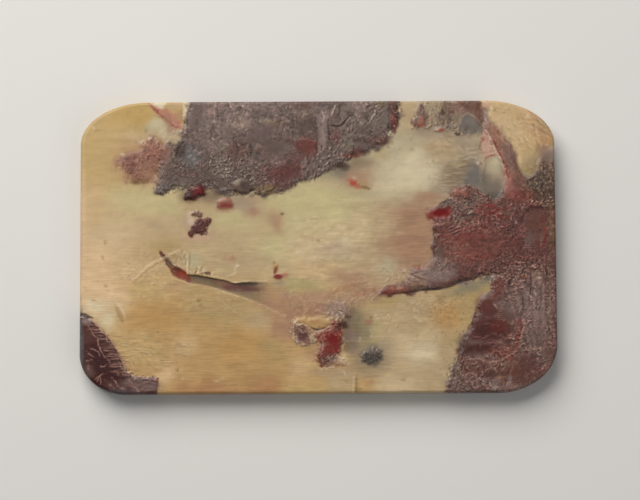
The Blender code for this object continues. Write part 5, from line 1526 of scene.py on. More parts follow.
@dataclass
class Shore:
    """The rosy rock shelf under the boat's stern and the red rock that stands on it."""

    def carve(self, sheet: Sheet) -> None:
        """Carve the shelf, the dark rock, the red rock and the round bush."""
        shelf = (
            (284, 293), (302, 295), (320, 293), (338, 289), (352, 282), (366, 280), (376, 286), (380, 296),
            (366, 303), (352, 309), (346, 318), (332, 320), (298, 320), (286, 310),
        )
        Area(shelf, Stone.ROSE_TAN, 0.55, 12.0, 4.0, 8, 0.1, 9.0, 0.35, -12, 30, 0.25).draw(sheet)
        for mark in (
            Spot(312, 298, 18, 5, Stone.ROSE_TAN, 0.5, 1.2),
            Spot(346, 289, 16, 4, Stone.RUST_TAN, 0.5, 1.2, -18),
            Spot(336, 310, 12, 9, Stone.MAUVE_LIGHT, 0.6, 1), Spot(316, 310, 9, 6, Stone.ROSE, 0.35, 1),
            Spot(364, 293, 12, 3, Stone.TERRACOTTA, 0.45, 1, -16),
            Spot(296, 314, 10, 6, Stone.ROSE_TAN, 0.5, 1), Spot(350, 312, 7, 5, Stone.BARK, 0.4, 1.2),
        ):
            mark.draw(sheet)
        Crags(shelf, 4.6, 2.4, -18, 0.025, Stone.PALE_LIGHT, Stone.BARK, 0.1, 0.08, 95).draw(sheet)
        Leaves(shelf, 4.2, 5.0, 0.75, -18, 14, 0.015, Stone.PALE_LIGHT, Stone.BRICK, 0.3, 0.08, 0.05, 100,
               0.1).draw(sheet)
        rough = ((326, 301), (350, 303), (352, 317), (328, 319))
        Leaves(rough, 3.0, 2.6, 1.08, -40, 30, 0.06, Stone.PALE_LIGHT, Stone.BARK, 0.5, 0.25, 0.15, 96,
               0.4).draw(sheet)
        self.carve_dark_rock(sheet)
        self.carve_red_rock(sheet)
        self.carve_bush(sheet)

    def carve_dark_rock(self, sheet: Sheet) -> None:
        """Carve the ochre block and the dark rock below it."""
        block = (
            (295.5, 317.6), (310, 317.4), (331, 318.4), (331, 322.6), (326, 326), (320, 329), (312, 328.6),
            (306, 324.6), (295.4, 322.2),
        )
        rock = (
            (294.5, 321), (290.5, 327), (292, 333), (294.6, 338.6), (297, 343), (301, 346.4), (306, 345.8),
            (311, 344), (317, 342), (318, 333), (314, 328), (305, 324),
        )
        Area(rock, Stone.ROSE_TAN, 0.75, 5.0, 2.4, 3, 0.45, 5.0, 0.8).draw(sheet)
        for mark in (
            Spot(300, 331, 6, 6, Stone.MAROON, 0.8, 0.9, 30),
            Spot(303, 337, 5, 4.5, Stone.WINE, 0.9, 0.7, 20, -0.15),
            Spot(307.6, 341, 3, 3, Stone.MAROON, 0.8, 0.8), Spot(310.6, 334, 3, 3, Stone.UMBER, 0.6, 0.9),
            Spot(313.6, 338, 4, 5.5, Stone.SAND, 0.8, 0.8, 0, 0.1),
            Spot(298, 340, 3, 3, Stone.MAUVE_GREY, 0.6, 0.9),
        ):
            mark.draw(sheet)
        Leaves(rock, 2.5, 1.8, 0.8, 40, 50, 0.05, Stone.PALE_LIGHT, Stone.WINE, 0.8, 0.25, 0.3, 97, 0.4, 60,
               0.4).draw(sheet)
        Area(block, Stone.TAN, 0.85, 3.4, 1.2, 4, 0.5, 4.0, 0.3).draw(sheet)
        for mark in (
            Spot(316, 323, 6, 3, Stone.RUST_TAN, 0.6, 0.9), Spot(328, 321, 5, 3, Stone.SAND, 0.5, 0.9),
            Stroke(((291.5, 326), (294.8, 318.6), (296.6, 323.4), (304, 325), (308, 327.6)),
                   0.7, Stone.PALE_LIGHT, 0.65, 0.05, True, 2),
            Stroke(((311, 328), (316, 330), (322.8, 329.8), (326, 327)), 1.2, Stone.BARK, 0.8, -0.1),
            Stroke(((316, 333), (321, 331), (327, 329), (331, 325)), 1.1, Stone.PALE_LIGHT, 0.6, 0.1),
            Stroke(((290, 329), (293, 333.5), (294.5, 338.6), (297.6, 344), (303, 346.6), (309, 345.4)),
                   0.7, Stone.PALE_LIGHT, 0.65, 0.05, True, 2.4),
            Stroke(((299, 329), (303, 332), (307, 329.6)), 0.7, Stone.PALE_LIGHT, 0.6, 0.05, True, 2),
        ):
            mark.draw(sheet)

    def carve_red_rock(self, sheet: Sheet) -> None:
        """Carve the crimson rock with its pale rims."""
        mass = (
            (319, 333), (324, 331), (331, 326), (334, 321), (340, 323), (343, 331), (342, 341), (340.4, 349),
            (340, 354), (334, 357), (328, 362), (321.6, 365), (317, 358), (318.6, 350), (322, 345),
            (318.4, 341), (317, 336),
        )
        Area(mass, Stone.CRIMSON, 0.9, 6.0, 2.2, 3, 0.7, 6.0, 0.8).draw(sheet)
        for mark in (
            Spot(323, 346, 6, 9, Stone.BRICK, 0.5, 1), Spot(327, 356, 9, 5, Stone.MAROON, 0.5, 1),
            Spot(333, 339.5, 5.5, 5, Stone.BLOOD, 0.9, 1, 0, 0, 0.6),
            Spot(331, 349, 8, 6, Stone.BLOOD, 0.35, 1), Spot(337.6, 327, 4.6, 5, Stone.MAROON, 0.7, 0.9),
            Spot(324, 361, 4, 4.5, Stone.WINE, 0.75, 0.9),
            Spot(334, 359.6, 7, 3.6, Stone.MAUVE_LIGHT, 0.6, 0.9),
            # The two shadow spots at x 343.6 and 348 are painted shadow at the rock's right side
            Spot(343.6, 325.6, 4.6, 3.6, Stone.SHADOW, 0.75, 0.9, 20, -0.1),
            Spot(348, 317, 3.6, 2, Stone.SHADOW, 0.5, 1), Spot(350, 334, 5, 4, Stone.MAUVE_GREY, 0.45, 1.2),
            Spot(346, 347.6, 3.4, 5, Stone.UMBER, 0.6, 0.9),
            Spot(353, 348.6, 5, 6, Stone.MAUVE_GREY, 0.4, 1.2),
            Spot(343, 358, 4.6, 5, Stone.CREAM, 0.6, 0.9, 30, 0.1),
            Spot(332, 365, 12, 3, Stone.MAROON, 0.4, 1), Spot(333, 373, 20, 4, Stone.GREY_TAN, 0.5, 1.2),
            Spot(312, 352, 6, 8, Stone.ROSE_TAN, 0.35, 1.2),
        ):
            mark.draw(sheet)
        Leaves(mass, 3.2, 3.2, 0.9, -50, 40, 0.06, Stone.SALMON, Stone.PLUM, 0.75, 0.3, 0.4, 98, 0.35, 40,
               0.3).draw(sheet)
        rubble = ((321, 357), (332, 354), (342, 357), (347, 364), (336, 366), (324, 367))
        Leaves(rubble, 2.5, 1.8, 0.96, -10, 36, 0.06, Stone.PALE_LIGHT, Stone.WINE, 0.7, 0.2, 0.2, 107, 0.35,
               40, 0.5).draw(sheet)
        spill = ((312, 332), (321, 332), (323, 346), (318, 358), (312, 360), (315, 346))
        Leaves(spill, 2.8, 1.8, 0.96, 30, 36, 0.05, Stone.PALE_LIGHT, Stone.BRICK, 0.5, 0.15, 0.2, 108,
               0.3).draw(sheet)
        rims = (
            ((312.9, 362), (316.7, 365.6), (322, 369.4), (326, 368), (337.4, 367.2)),
            ((329, 356.8), (333.6, 354.6), (338, 357.6)), ((323, 358), (329, 356.8)),
            ((324.4, 343.6), (323, 349), (321.4, 354)), ((318.6, 342), (322, 344.6), (324.6, 343)),
            ((347.6, 341.6), (342.7, 344.4), (340.6, 349), (340, 355), (343.6, 358.4), (347.4, 361.4),
             (352, 365.4)),
            ((362.6, 341.2), (354, 341), (347.6, 341.6)), ((339, 359), (343.6, 363.6), (347.4, 365.4)),
            ((332.8, 333), (336.6, 336.8)), ((319, 334), (324, 332), (331, 330)),
            ((337, 367.4), (342, 370), (347, 376)), ((340, 331), (342.6, 337), (341.6, 341)),
            ((349, 352), (352, 356)),
        )
        for rim in rims:
            Stroke(rim, 0.7, Stone.PALE_LIGHT, 0.5, 0.04, True, 2.4).draw(sheet)

    def carve_bush(self, sheet: Sheet) -> None:
        """Carve the dark round bush with its pits and flecks."""
        turns = np.linspace(0, 5.76, 12)
        bush = [(372 + 10.5 * math.cos(turn), 356.4 + 8.5 * math.sin(turn)) for turn in turns]
        Spot(371, 356, 18, 15, Stone.ASH, 0.5, 1.6).draw(sheet)
        Area(bush, Stone.NIGHT, 0.85, 6.0, 1.8, 3, 0.4, 5.0, 0.7, 20, 90, 0.3).draw(sheet)
        Leaves(bush, 3.0, 1.3, 0.8, 20, 90, 0.04, Stone.PALE_LIGHT, Stone.SHADOW, 0.45, 0.3, 0.4, 99, 0.8, 90,
               0.5).draw(sheet)
        for mark in (
            Spot(373, 351.6, 6, 2.6, Stone.MAUVE_GREY, 0.5, 1),
            Spot(369.6, 322, 4, 2, Stone.TERRACOTTA, 0.6, 0.8), Spot(371, 317.6, 1.6, 1.4, Stone.UMBER, 0.6),
            Spot(366, 333, 4, 6, Stone.OLIVE_GREY, 0.4, 1),
            Stroke(((372.6, 316.6), (379.6, 314)), 0.9, Stone.PALE_LIGHT, 0.5),
            Stroke(((374, 319), (380, 317)), 0.8, Stone.PALE_LIGHT, 0.4),
            Spot(372, 345, 5, 2, Stone.OLIVE_GREY, 0.6, 0.9),
            Stroke(((369, 342), (372, 340.6), (375, 342.6)), 1, Stone.OCHRE, 0.6, 0.05),
            Stroke(((370, 331), (373, 334), (370, 338)), 0.9, Stone.CREAM, 0.35, 0.05),
        ):
            mark.draw(sheet)


@dataclass
class LooseRocks:
    """The small rocks that stand alone in the ground under the cliff."""

    def carve(self, sheet: Sheet) -> None:
        """Carve each rock, with painted shadow below and beside it and painted highlight on its top."""
        boulder = (
            (184, 200), (186.5, 193), (190, 189), (195.5, 186.6), (200.6, 185), (204, 188.6), (205, 195),
            (198, 198), (191, 200.6),
        )
        pebble = (
            (216.5, 204), (218, 200.4), (224, 198.2), (231, 198.8), (233, 202.8), (231.8, 207.4),
            (224, 208.7), (217.8, 208.2),
        )
        cluster = (
            (197, 219), (205, 219), (210, 218), (211, 221), (208, 225), (206, 229.5), (207, 233),
            (201, 234.5), (196, 233.5), (190.5, 237), (189, 232.5), (192, 229), (191, 226), (195.5, 222.5),
        )
        chip = ((190.5, 214), (195.5, 211.5), (200.5, 211.5), (204, 214.5), (199, 217))
        grey = (
            (232.5, 184), (238, 180), (246.5, 179.5), (250.5, 184), (251, 189), (246, 193), (239, 193.5),
            (234, 190),
        )
        for mark in (
            # The shadow spots at x 188 and x 246 are painted shadow under the boulder and beside the grey
            # rock
            Spot(196, 203, 17, 7, Stone.ROSE_TAN, 0.3, 1.4), Spot(188, 197, 8, 6, Stone.SHADOW, 0.35, 1.4),
            Spot(197, 237, 14, 4, Stone.PINK_LIGHT, 0.5, 1.2),
            Spot(188, 220, 5, 9, Stone.PINK_LIGHT, 0.3, 1.2),
            Spot(225, 209, 9, 3, Stone.TERRACOTTA, 0.4, 1.2), Spot(246, 190, 10, 6, Stone.SHADOW, 0.3, 1.4),
            Area(boulder, Stone.PLUM, 1, 4, 1.2, 3, 0.65, 5, 0.2),
            Spot(198, 191, 6, 4, Stone.RUBY, 0.7, 0.9, -20),
            # Painted highlight on the boulder's top and upper-left edge, painted shade on its lower left
            Spot(196, 188.6, 4, 1.2, Stone.ROSE, 0.4, 0.9, -16),
            Spot(187, 198, 4, 2.4, Stone.SHADOW, 0.5, 0.9),
            Stroke(((187, 191), (193, 187), (199, 185)), 0.9, Stone.PINK_LIGHT, 0.4, 0.05),
            Area(pebble, Stone.BRICK, 0.95, 3, 1, 3, 0.45, 5, 0.1),
            Spot(226, 205.4, 7, 2.6, Stone.CRIMSON, 0.6, 0.9),
            # Painted highlight on the pebble's top
            Spot(222, 200.4, 5, 1.4, Stone.PINK_LIGHT, 0.35, 0.8, -6),
            Spot(225, 208, 7, 0.9, Stone.TERRACOTTA, 0.6, 0.8),
            Area(cluster, Stone.WINE, 1, 2, 1.2, 2.5, 0.6, 2.5, 0.5),
            Area(chip, Stone.MAROON, 0.85, 2, 1, 2.5, 0.4, 2, 0.5),
            Area(grey, Stone.BARK, 0.95, 2.4, 0.8, 3, 1, 3.5, 0.3),
            # Painted highlight on the grey rock's upper left and painted shade on its right side
            Spot(237, 183, 4, 2.6, Stone.GREY_CREAM, 0.5, 1.2, -30),
            Spot(244.6, 186, 4, 4, Stone.SHADOW, 0.45, 1),
            Leaves(cluster, 2.6, 1.6, 0.96, -30, 30, 0.06, Stone.TERRACOTTA, Stone.SHADOW, 0.55, 0.3, 0.2,
                   101, 0.4),
            Leaves(boulder, 3.2, 1.8, 0.96, -40, 24, 0.05, Stone.MAROON, Stone.SHADOW, 0.45, 0.3, 0.2, 102,
                   0.3),
            Leaves(chip, 2.6, 1.4, 0.96, -30, 30, 0.04, Stone.PALE_LIGHT, Stone.WINE, 0.5, 0.2, 0.2, 109,
                   0.3), Spot(191, 222, 3, 4, Stone.PALE_LIGHT, 0.4, 1),
            Spot(190, 214, 2, 3, Stone.PALE_LIGHT, 0.4, 1),
            Stroke(((204, 220), (208, 217.5), (211, 219)), 0.9, Stone.TERRACOTTA, 0.7, 0.05),
            Stroke(((245, 198.5), (248, 195.5), (255, 191.5), (259, 193.5)),
                   1.1, Stone.PALE_LIGHT, 0.5, 0.08),
            Stroke(((249, 207), (253, 210), (256, 215)), 1.8, Stone.ROSE, 0.4),
            Spot(252, 200, 12, 4, Stone.ROSE_TAN, 0.3, 1.4),
        ):
            mark.draw(sheet)


@dataclass
class CarvedFace:
    """The whole drawing, element by element, and the painted relief shade, grime and mottling that draw it
    together.
    """

    lowest: float = -0.75
    highest: float = 1.17
    grime: float = 0.07
    relief_shade: float = 0.6
    darkest_hollow: float = -0.25
    lightest_ridge: float = 0.12
    mottle_size: float = 2.2
    ground_mottle: float = 0.012
    rock_mottle: float = 0.06
    elements: Sequence = field(default_factory=lambda: (
        Ground(), UpperCliff(), TopLeftInlay(), RedTrees(), TopForest(), RightMountain(), CreamCorner(),
        Shore(), Boat(), LooseRocks(), CornerRock(),
    ))

    def drawn(self) -> Sheet:
        """Return the finished sheet."""
        sheet = Sheet()
        for element in self.elements:
            element.carve(sheet)
            LOG.info("carved %s", type(element).__name__)
        self.wear(sheet)
        return sheet

    def wear(self, sheet: Sheet) -> None:
        """Paint shade into the hollows and highlight onto the ridges, grime and mottle the rock and keep the
        heights in the slab.
        """
        sheet.height = np.clip(sheet.height, self.lowest, self.highest)
        # Painted shade in the hollows and painted highlight on the ridges, from the height's difference to
        # its blur
        relief = sheet.height - soften(sheet.height, 3.0)
        everywhere = (slice(None), slice(None))
        sheet.shade(everywhere, np.clip(relief * self.relief_shade, self.darkest_hollow, self.lightest_ridge))
        sheet.rock *= 1 - 0.8 * sheet.calm
        sheet.worn *= 1 - 0.9 * sheet.calm
        sheet.shade(everywhere, -self.grime * sheet.rock)
        mottle = clouds(sheet.x / self.mottle_size, sheet.y / self.mottle_size, seed=77, octaves=3)
        sheet.shade(everywhere, (self.ground_mottle + self.rock_mottle * sheet.rock) * mottle)


@dataclass
class Slab:
    """The plaque's body: a fine grid for the face, plain sides, a rounded back edge and a flat back.

    The corners are quarter ellipses, given by their reach along the long and the short side, in metres.
    """

    top_left: tuple[float, float] = (0.0275, 0.0170)
    top_right: tuple[float, float] = (0.0275, 0.0175)
    bottom_left: tuple[float, float] = (0.0180, 0.0160)
    bottom_right: tuple[float, float] = (0.0230, 0.0190)
    left_round: float = 0.0018
    right_round: float = 0.0009
    top_round: float = 0.0007
    bottom_round: float = 0.0010
    back_round: float = 0.0008
    ground_depth: float = 0.0012
    gloss_share: float = 0.010
    darkest: float = 0.003
    side_start: float = 0.002
    side_fade: float = 0.001
    side_blur: float = 9.0
    corner_points: int = 65
    corner_zone: float = 0.03
    columns: int = 184
    rows: int = 114
    busy_step: float = 0.1
    carved_share: float = 0.47
    sharp_share: float = 0.125
    rim_width: float = 0.0025
    back_columns: int = 40
    back_rows: int = 25

    def __post_init__(self) -> None:
        """Take the slab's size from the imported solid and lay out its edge."""
        low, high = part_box("plaque")
        self.length, self.height, self.thickness = (high - low)
        self.sides = self.edge_sides()

    def edge_sides(self) -> dict[str, np.ndarray]:
        """Return the four sides of the outline, each from one corner's middle to the middle of the next."""
        half = np.array((self.length / 2, self.height / 2))
        corners = {}
        for name, side, reach, start in (
            ("bottom_right", (1, -1), self.bottom_right, -90), ("top_right", (1, 1), self.top_right, 0),
            ("top_left", (-1, 1), self.top_left, 90), ("bottom_left", (-1, -1), self.bottom_left, 180),
        ):
            turns = np.radians(np.linspace(start, start + 90, self.corner_points))
            centre = np.array(side) * (half - np.array(reach))
            corners[name] = centre + np.array(reach) * np.column_stack((np.cos(turns), np.sin(turns)))
        middle = self.corner_points // 2
        return {
            "right": np.vstack((corners["bottom_right"][middle:], corners["top_right"][:middle + 1])),
            "top": np.vstack((corners["top_right"][middle:], corners["top_left"][:middle + 1]))[::-1],
            "left": np.vstack((corners["top_left"][middle:], corners["bottom_left"][:middle + 1]))[::-1],
            "bottom": np.vstack((corners["bottom_left"][middle:], corners["bottom_right"][:middle + 1])),
        }

    def fitted(self, flat: np.ndarray) -> np.ndarray:
        """Fit a square of places to the slab's outline.

        Args:
            flat: Places from -1 to 1 across and up, on a plain rectangle.

        Returns:
            The places on the slab, in metres, with the rectangle's rim on the slab's outline.
        """
        across, up = flat[:, 0], flat[:, 1]
        ring = np.maximum(np.maximum(np.abs(across), np.abs(up)), 1e-9)
        square = flat * (self.length / 2, self.height / 2)
        rim = np.zeros(flat.shape)
        upright = np.abs(across) >= np.abs(up)
        for name, chosen, along in (
            ("right", upright & (across > 0), up), ("left", upright & (across <= 0), up),
            ("top", ~upright & (up > 0), across), ("bottom", ~upright & (up <= 0), across),
        ):
            side = self.sides[name]
            walked = np.concatenate(([0], np.cumsum(np.hypot(*np.diff(side, axis=0).T))))
            share = (along[chosen] / ring[chosen] + 1) / 2 * walked[-1]
            rim[chosen] = np.column_stack([np.interp(share, walked, side[:, axis]) for axis in (0, 1)])
        return square + ring[:, None] ** 3 * (rim - square / ring[:, None])

    def edge_drop(self, places: np.ndarray) -> np.ndarray:
        """Return how far the worn edge lies below the carving at each place, in metres."""
        loop = np.vstack([self.sides["bottom"], self.sides["right"], self.sides["top"][::-1],
                          self.sides["left"][::-1]])
        reach = max(self.left_round, self.right_round, self.top_round, self.bottom_round)
        half = np.array((self.length / 2, self.height / 2))
        near = np.max(np.abs(places) - half, axis=1) > -reach * 1.2
        corner = np.sum(np.maximum(np.abs(places) - (half - self.corner_zone), 0) > 0, axis=1) == 2
        drop = np.zeros(len(places))
        chosen = np.flatnonzero(near | corner)
        gap, radius = np.full(len(chosen), np.inf), np.zeros(len(chosen))
        x, y = places[chosen].T
        for start, end in zip(loop, np.roll(loop, -1, axis=0)):
            run = end - start
            length = np.hypot(*run)
            if length < 1e-7:
                continue
            share = np.clip(((x - start[0]) * run[0] + (y - start[1]) * run[1]) / length ** 2, 0, 1)
            distance = np.hypot(x - start[0] - share * run[0], y - start[1] - share * run[1])
            facing = np.array((run[1], -run[0])) / length
            side = self.right_round if facing[0] > 0 else self.left_round
            end_round = self.top_round if facing[1] > 0 else self.bottom_round
            worn = side * facing[0] ** 2 + end_round * facing[1] ** 2
            radius = np.where(distance < gap, worn, radius)
            gap = np.minimum(distance, gap)
        into = np.clip(gap, 0, radius)
        drop[chosen] = radius - np.sqrt(np.maximum(radius ** 2 - (radius - into) ** 2, 0))
        return drop

    def sheet_places(self, sheet: Sheet, places: np.ndarray) -> np.ndarray:
        """Return where places on the slab lie on the sheet."""
        return sheet.places(places[:, 0] / self.length + 0.5, 0.5 - places[:, 1] / self.height)

    def build(self, sheet: Sheet, material: bpy.types.Material) -> bpy.types.Object:
        """Build the plaque.

        Args:
            sheet: The finished drawing of the face.
            material: The stone.

        Returns:
            The plaque as one closed piece.
        """
        face = self.grid("carved_plaque", self.columns, self.rows)
        self.refine(face, sheet)
        flat = read_vertices(face)[:, :2]
        places = self.fitted(flat)
        height = sheet.read(sheet.height, self.sheet_places(sheet, places)) * MILLIMETRE
        level = self.thickness - self.ground_depth + height - self.edge_drop(places)
        write_vertices(face, np.column_stack((places, level)))
        self.close_sides(face)
        back = self.grid("back", self.back_columns, self.back_rows)
        inner = self.fitted(read_vertices(back)[:, :2])
        shrink = 1 - 2 * (2 * self.back_round) / np.array((self.length, self.height))
        write_vertices(back, np.column_stack((inner * shrink, np.zeros(len(inner)))))
        self.join_back(face, back)
        self.paint(face, sheet)
        face.data.materials.clear()
        face.data.materials.append(material)
        return face

    def grid(self, name: str, columns: int, rows: int) -> bpy.types.Object:
        """Add a flat grid from -1 to 1 each way."""
        bpy.ops.object.select_all(action="DESELECT")
        bpy.ops.mesh.primitive_grid_add(x_subdivisions=columns, y_subdivisions=rows, size=2,
                                        location=(0, 0, 0))
        made = bpy.context.active_object
        made.name = name
        made.data.name = name
        return made

    def refine(self, face: bpy.types.Object, sheet: Sheet) -> None:
        """Halve the grid's faces where there is carving, and again where its lines are the sharpest."""
        tone = sheet.colour.mean(axis=2)
        carving = np.abs(sheet.height - soften(sheet.height, 4.0))
        colouring = np.abs(tone - soften(tone, 3.0))
        busy = soften(carving / self.busy_step + colouring / self.busy_step, 3.0)
        for share, rim_width in ((self.carved_share, self.rim_width), (self.sharp_share, 0.0)):
            polygons = face.data.polygons
            centres, areas = np.zeros(len(polygons) * 3), np.zeros(len(polygons))
            polygons.foreach_get("center", centres)
            polygons.foreach_get("area", areas)
            flat = centres.reshape(-1, 3)[:, :2]
            detail = sheet.read(busy, self.sheet_places(sheet, self.fitted(flat)))
            order = np.argsort(-detail)
            covered = np.cumsum(areas[order]) / areas.sum()
            chosen = np.any(np.abs(flat) > 1 - 2 * rim_width / np.array((self.length, self.height)), axis=1)
            chosen[order[covered < share]] = True
            LOG.info("refined %d of %d faces", chosen.sum(), len(chosen))
            select_faces(face, chosen)
            bpy.ops.object.mode_set(mode="EDIT")
            bpy.ops.mesh.subdivide(number_cuts=1, smoothness=0)
            bpy.ops.object.mode_set(mode="OBJECT")

    def close_sides(self, face: bpy.types.Object) -> None:
        """Extrude the rim down to the back and round the back edge."""
        select_rim(face)
        bpy.ops.object.mode_set(mode="EDIT")
        steps = [(0.0, self.thickness / 2), (0.0, self.back_round)]
        for turn in (30, 60, 90):
            drawn_in = self.back_round * (1 - math.cos(math.radians(turn)))
            steps.append((drawn_in, self.back_round * (1 - math.sin(math.radians(turn)))))
        drawn_before = 0.0
        for drawn_in, level in steps:
            bpy.ops.mesh.extrude_edges_move(TRANSFORM_OT_translate={"value": (0, 0, 0)})
            ratio = [(side - 2 * drawn_in) / (side - 2 * drawn_before) for side in (self.length, self.height)]
            bpy.ops.transform.resize(value=(*ratio, 0), center_override=(0, 0, level))
            drawn_before = drawn_in
        bpy.ops.object.mode_set(mode="OBJECT")

    def join_back(self, face: bpy.types.Object, back: bpy.types.Object) -> None:
        """Join the back to the sides and fill the ring between them."""
        bpy.ops.object.select_all(action="DESELECT")
        back.select_set(True)
        face.select_set(True)
        bpy.context.view_layer.objects.active = face
        bpy.ops.object.join()
        select_rim(face)
        bpy.ops.object.mode_set(mode="EDIT")
        bpy.ops.mesh.fill(use_beauty=True)
        bpy.ops.mesh.select_all(action="SELECT")
        bpy.ops.mesh.normals_make_consistent(inside=False)
        bpy.ops.object.mode_set(mode="OBJECT")
        bpy.ops.object.shade_smooth_by_angle(angle=math.radians(60))

    def paint(self, face: bpy.types.Object, sheet: Sheet) -> None:
        """Write the sheet's colour and finish to the piece's own attributes."""
        points = read_vertices(face)
        spots = self.sheet_places(sheet, points[:, :2])
        below = ease((self.thickness - self.ground_depth - self.side_start - points[:, 2]) / self.side_fade)
        colour = sheet.read(sheet.colour, spots)
        behind = sheet.read(soften(sheet.colour, self.side_blur), spots)
        colour = to_linear(colour + (behind - colour) * below[:, None])
        colour = np.maximum(colour - self.gloss_share, self.darkest)
        opaque = np.ones(len(colour))
        write_attribute(face, "Stone", "FLOAT_COLOR", "color", np.column_stack((colour, opaque)))
        rock = sheet.read(sheet.rock, spots) * (1 - below)
        ripple = sheet.read(sheet.ripple, spots) * (1 - below) * (1 - rock)
        write_attribute(face, "Rock", "FLOAT", "value", rock)
        write_attribute(face, "Ripple", "FLOAT", "value", ripple)
        write_attribute(face, "Worn", "FLOAT", "value", sheet.read(sheet.worn, spots) * (1 - below))
        write_attribute(face, "Turn", "FLOAT", "value", np.radians(90 - sheet.read(sheet.turn, spots)))


def read_vertices(piece: bpy.types.Object) -> np.ndarray:
    """Return a mesh's vertices."""
    values = np.zeros(len(piece.data.vertices) * 3)
    piece.data.vertices.foreach_get("co", values)
    return values.reshape(-1, 3)


def write_vertices(piece: bpy.types.Object, points: np.ndarray) -> None:
    """Move a mesh's vertices."""
    piece.data.vertices.foreach_set("co", points.astype(np.float32).ravel())
    piece.data.update()


def write_attribute(piece: bpy.types.Object, name: str, kind: str, key: str, values: np.ndarray) -> None:
    """Add an attribute of one value a vertex."""
    attribute = piece.data.attributes.new(name, kind, "POINT")
    attribute.data.foreach_set(key, values.astype(np.float32).ravel())


def activate(piece: bpy.types.Object) -> None:
    """Select one object alone and make it the active one."""
    bpy.ops.object.select_all(action="DESELECT")
    piece.select_set(True)
    bpy.context.view_layer.objects.active = piece


def select_faces(piece: bpy.types.Object, chosen: np.ndarray) -> None:
    """Select a mesh's faces for edit mode, and nothing else."""
    activate(piece)
    bpy.ops.object.mode_set(mode="EDIT")
    bpy.ops.mesh.select_mode(type="FACE")
    bpy.ops.mesh.select_all(action="DESELECT")
    bpy.ops.object.mode_set(mode="OBJECT")
    piece.data.polygons.foreach_set("select", chosen)


def select_rim(piece: bpy.types.Object) -> None:
    """Select a mesh's open edges for edit mode, and nothing else."""
    activate(piece)
    bpy.ops.object.mode_set(mode="EDIT")
    bpy.ops.mesh.select_mode(type="EDGE")
    bpy.ops.mesh.select_all(action="DESELECT")
    bpy.ops.mesh.select_non_manifold(extend=False, use_wire=False, use_boundary=True, use_multi_face=False,
                                     use_non_contiguous=False, use_verts=False)
    bpy.ops.object.mode_set(mode="OBJECT")


def add_node(tree: bpy.types.NodeTree, kind: str, sockets: dict | None = None,
             **settings: object) -> bpy.types.Node:
    """Add a shader node.

    Args:
        tree: The material's tree.
        kind: The node's type.
        sockets: A value, or an output to link from, for each input by name or number.
        **settings: The node's own settings.

    Returns:
        The node.
    """
    node = tree.nodes.new(kind)
    for name, value in settings.items():
        setattr(node, name, value)
    for key, value in (sockets or {}).items():
        if isinstance(value, bpy.types.NodeSocket):
            tree.links.new(value, node.inputs[key])
        else:
            node.inputs[key].default_value = value
    return node


def combine(tree: bpy.types.NodeTree, operation: str, *values: object) -> bpy.types.NodeSocket:
    """Return what a shader sum makes of some numbers and outputs."""
    return add_node(tree, "ShaderNodeMath", dict(enumerate(values)), operation=operation).outputs[0]


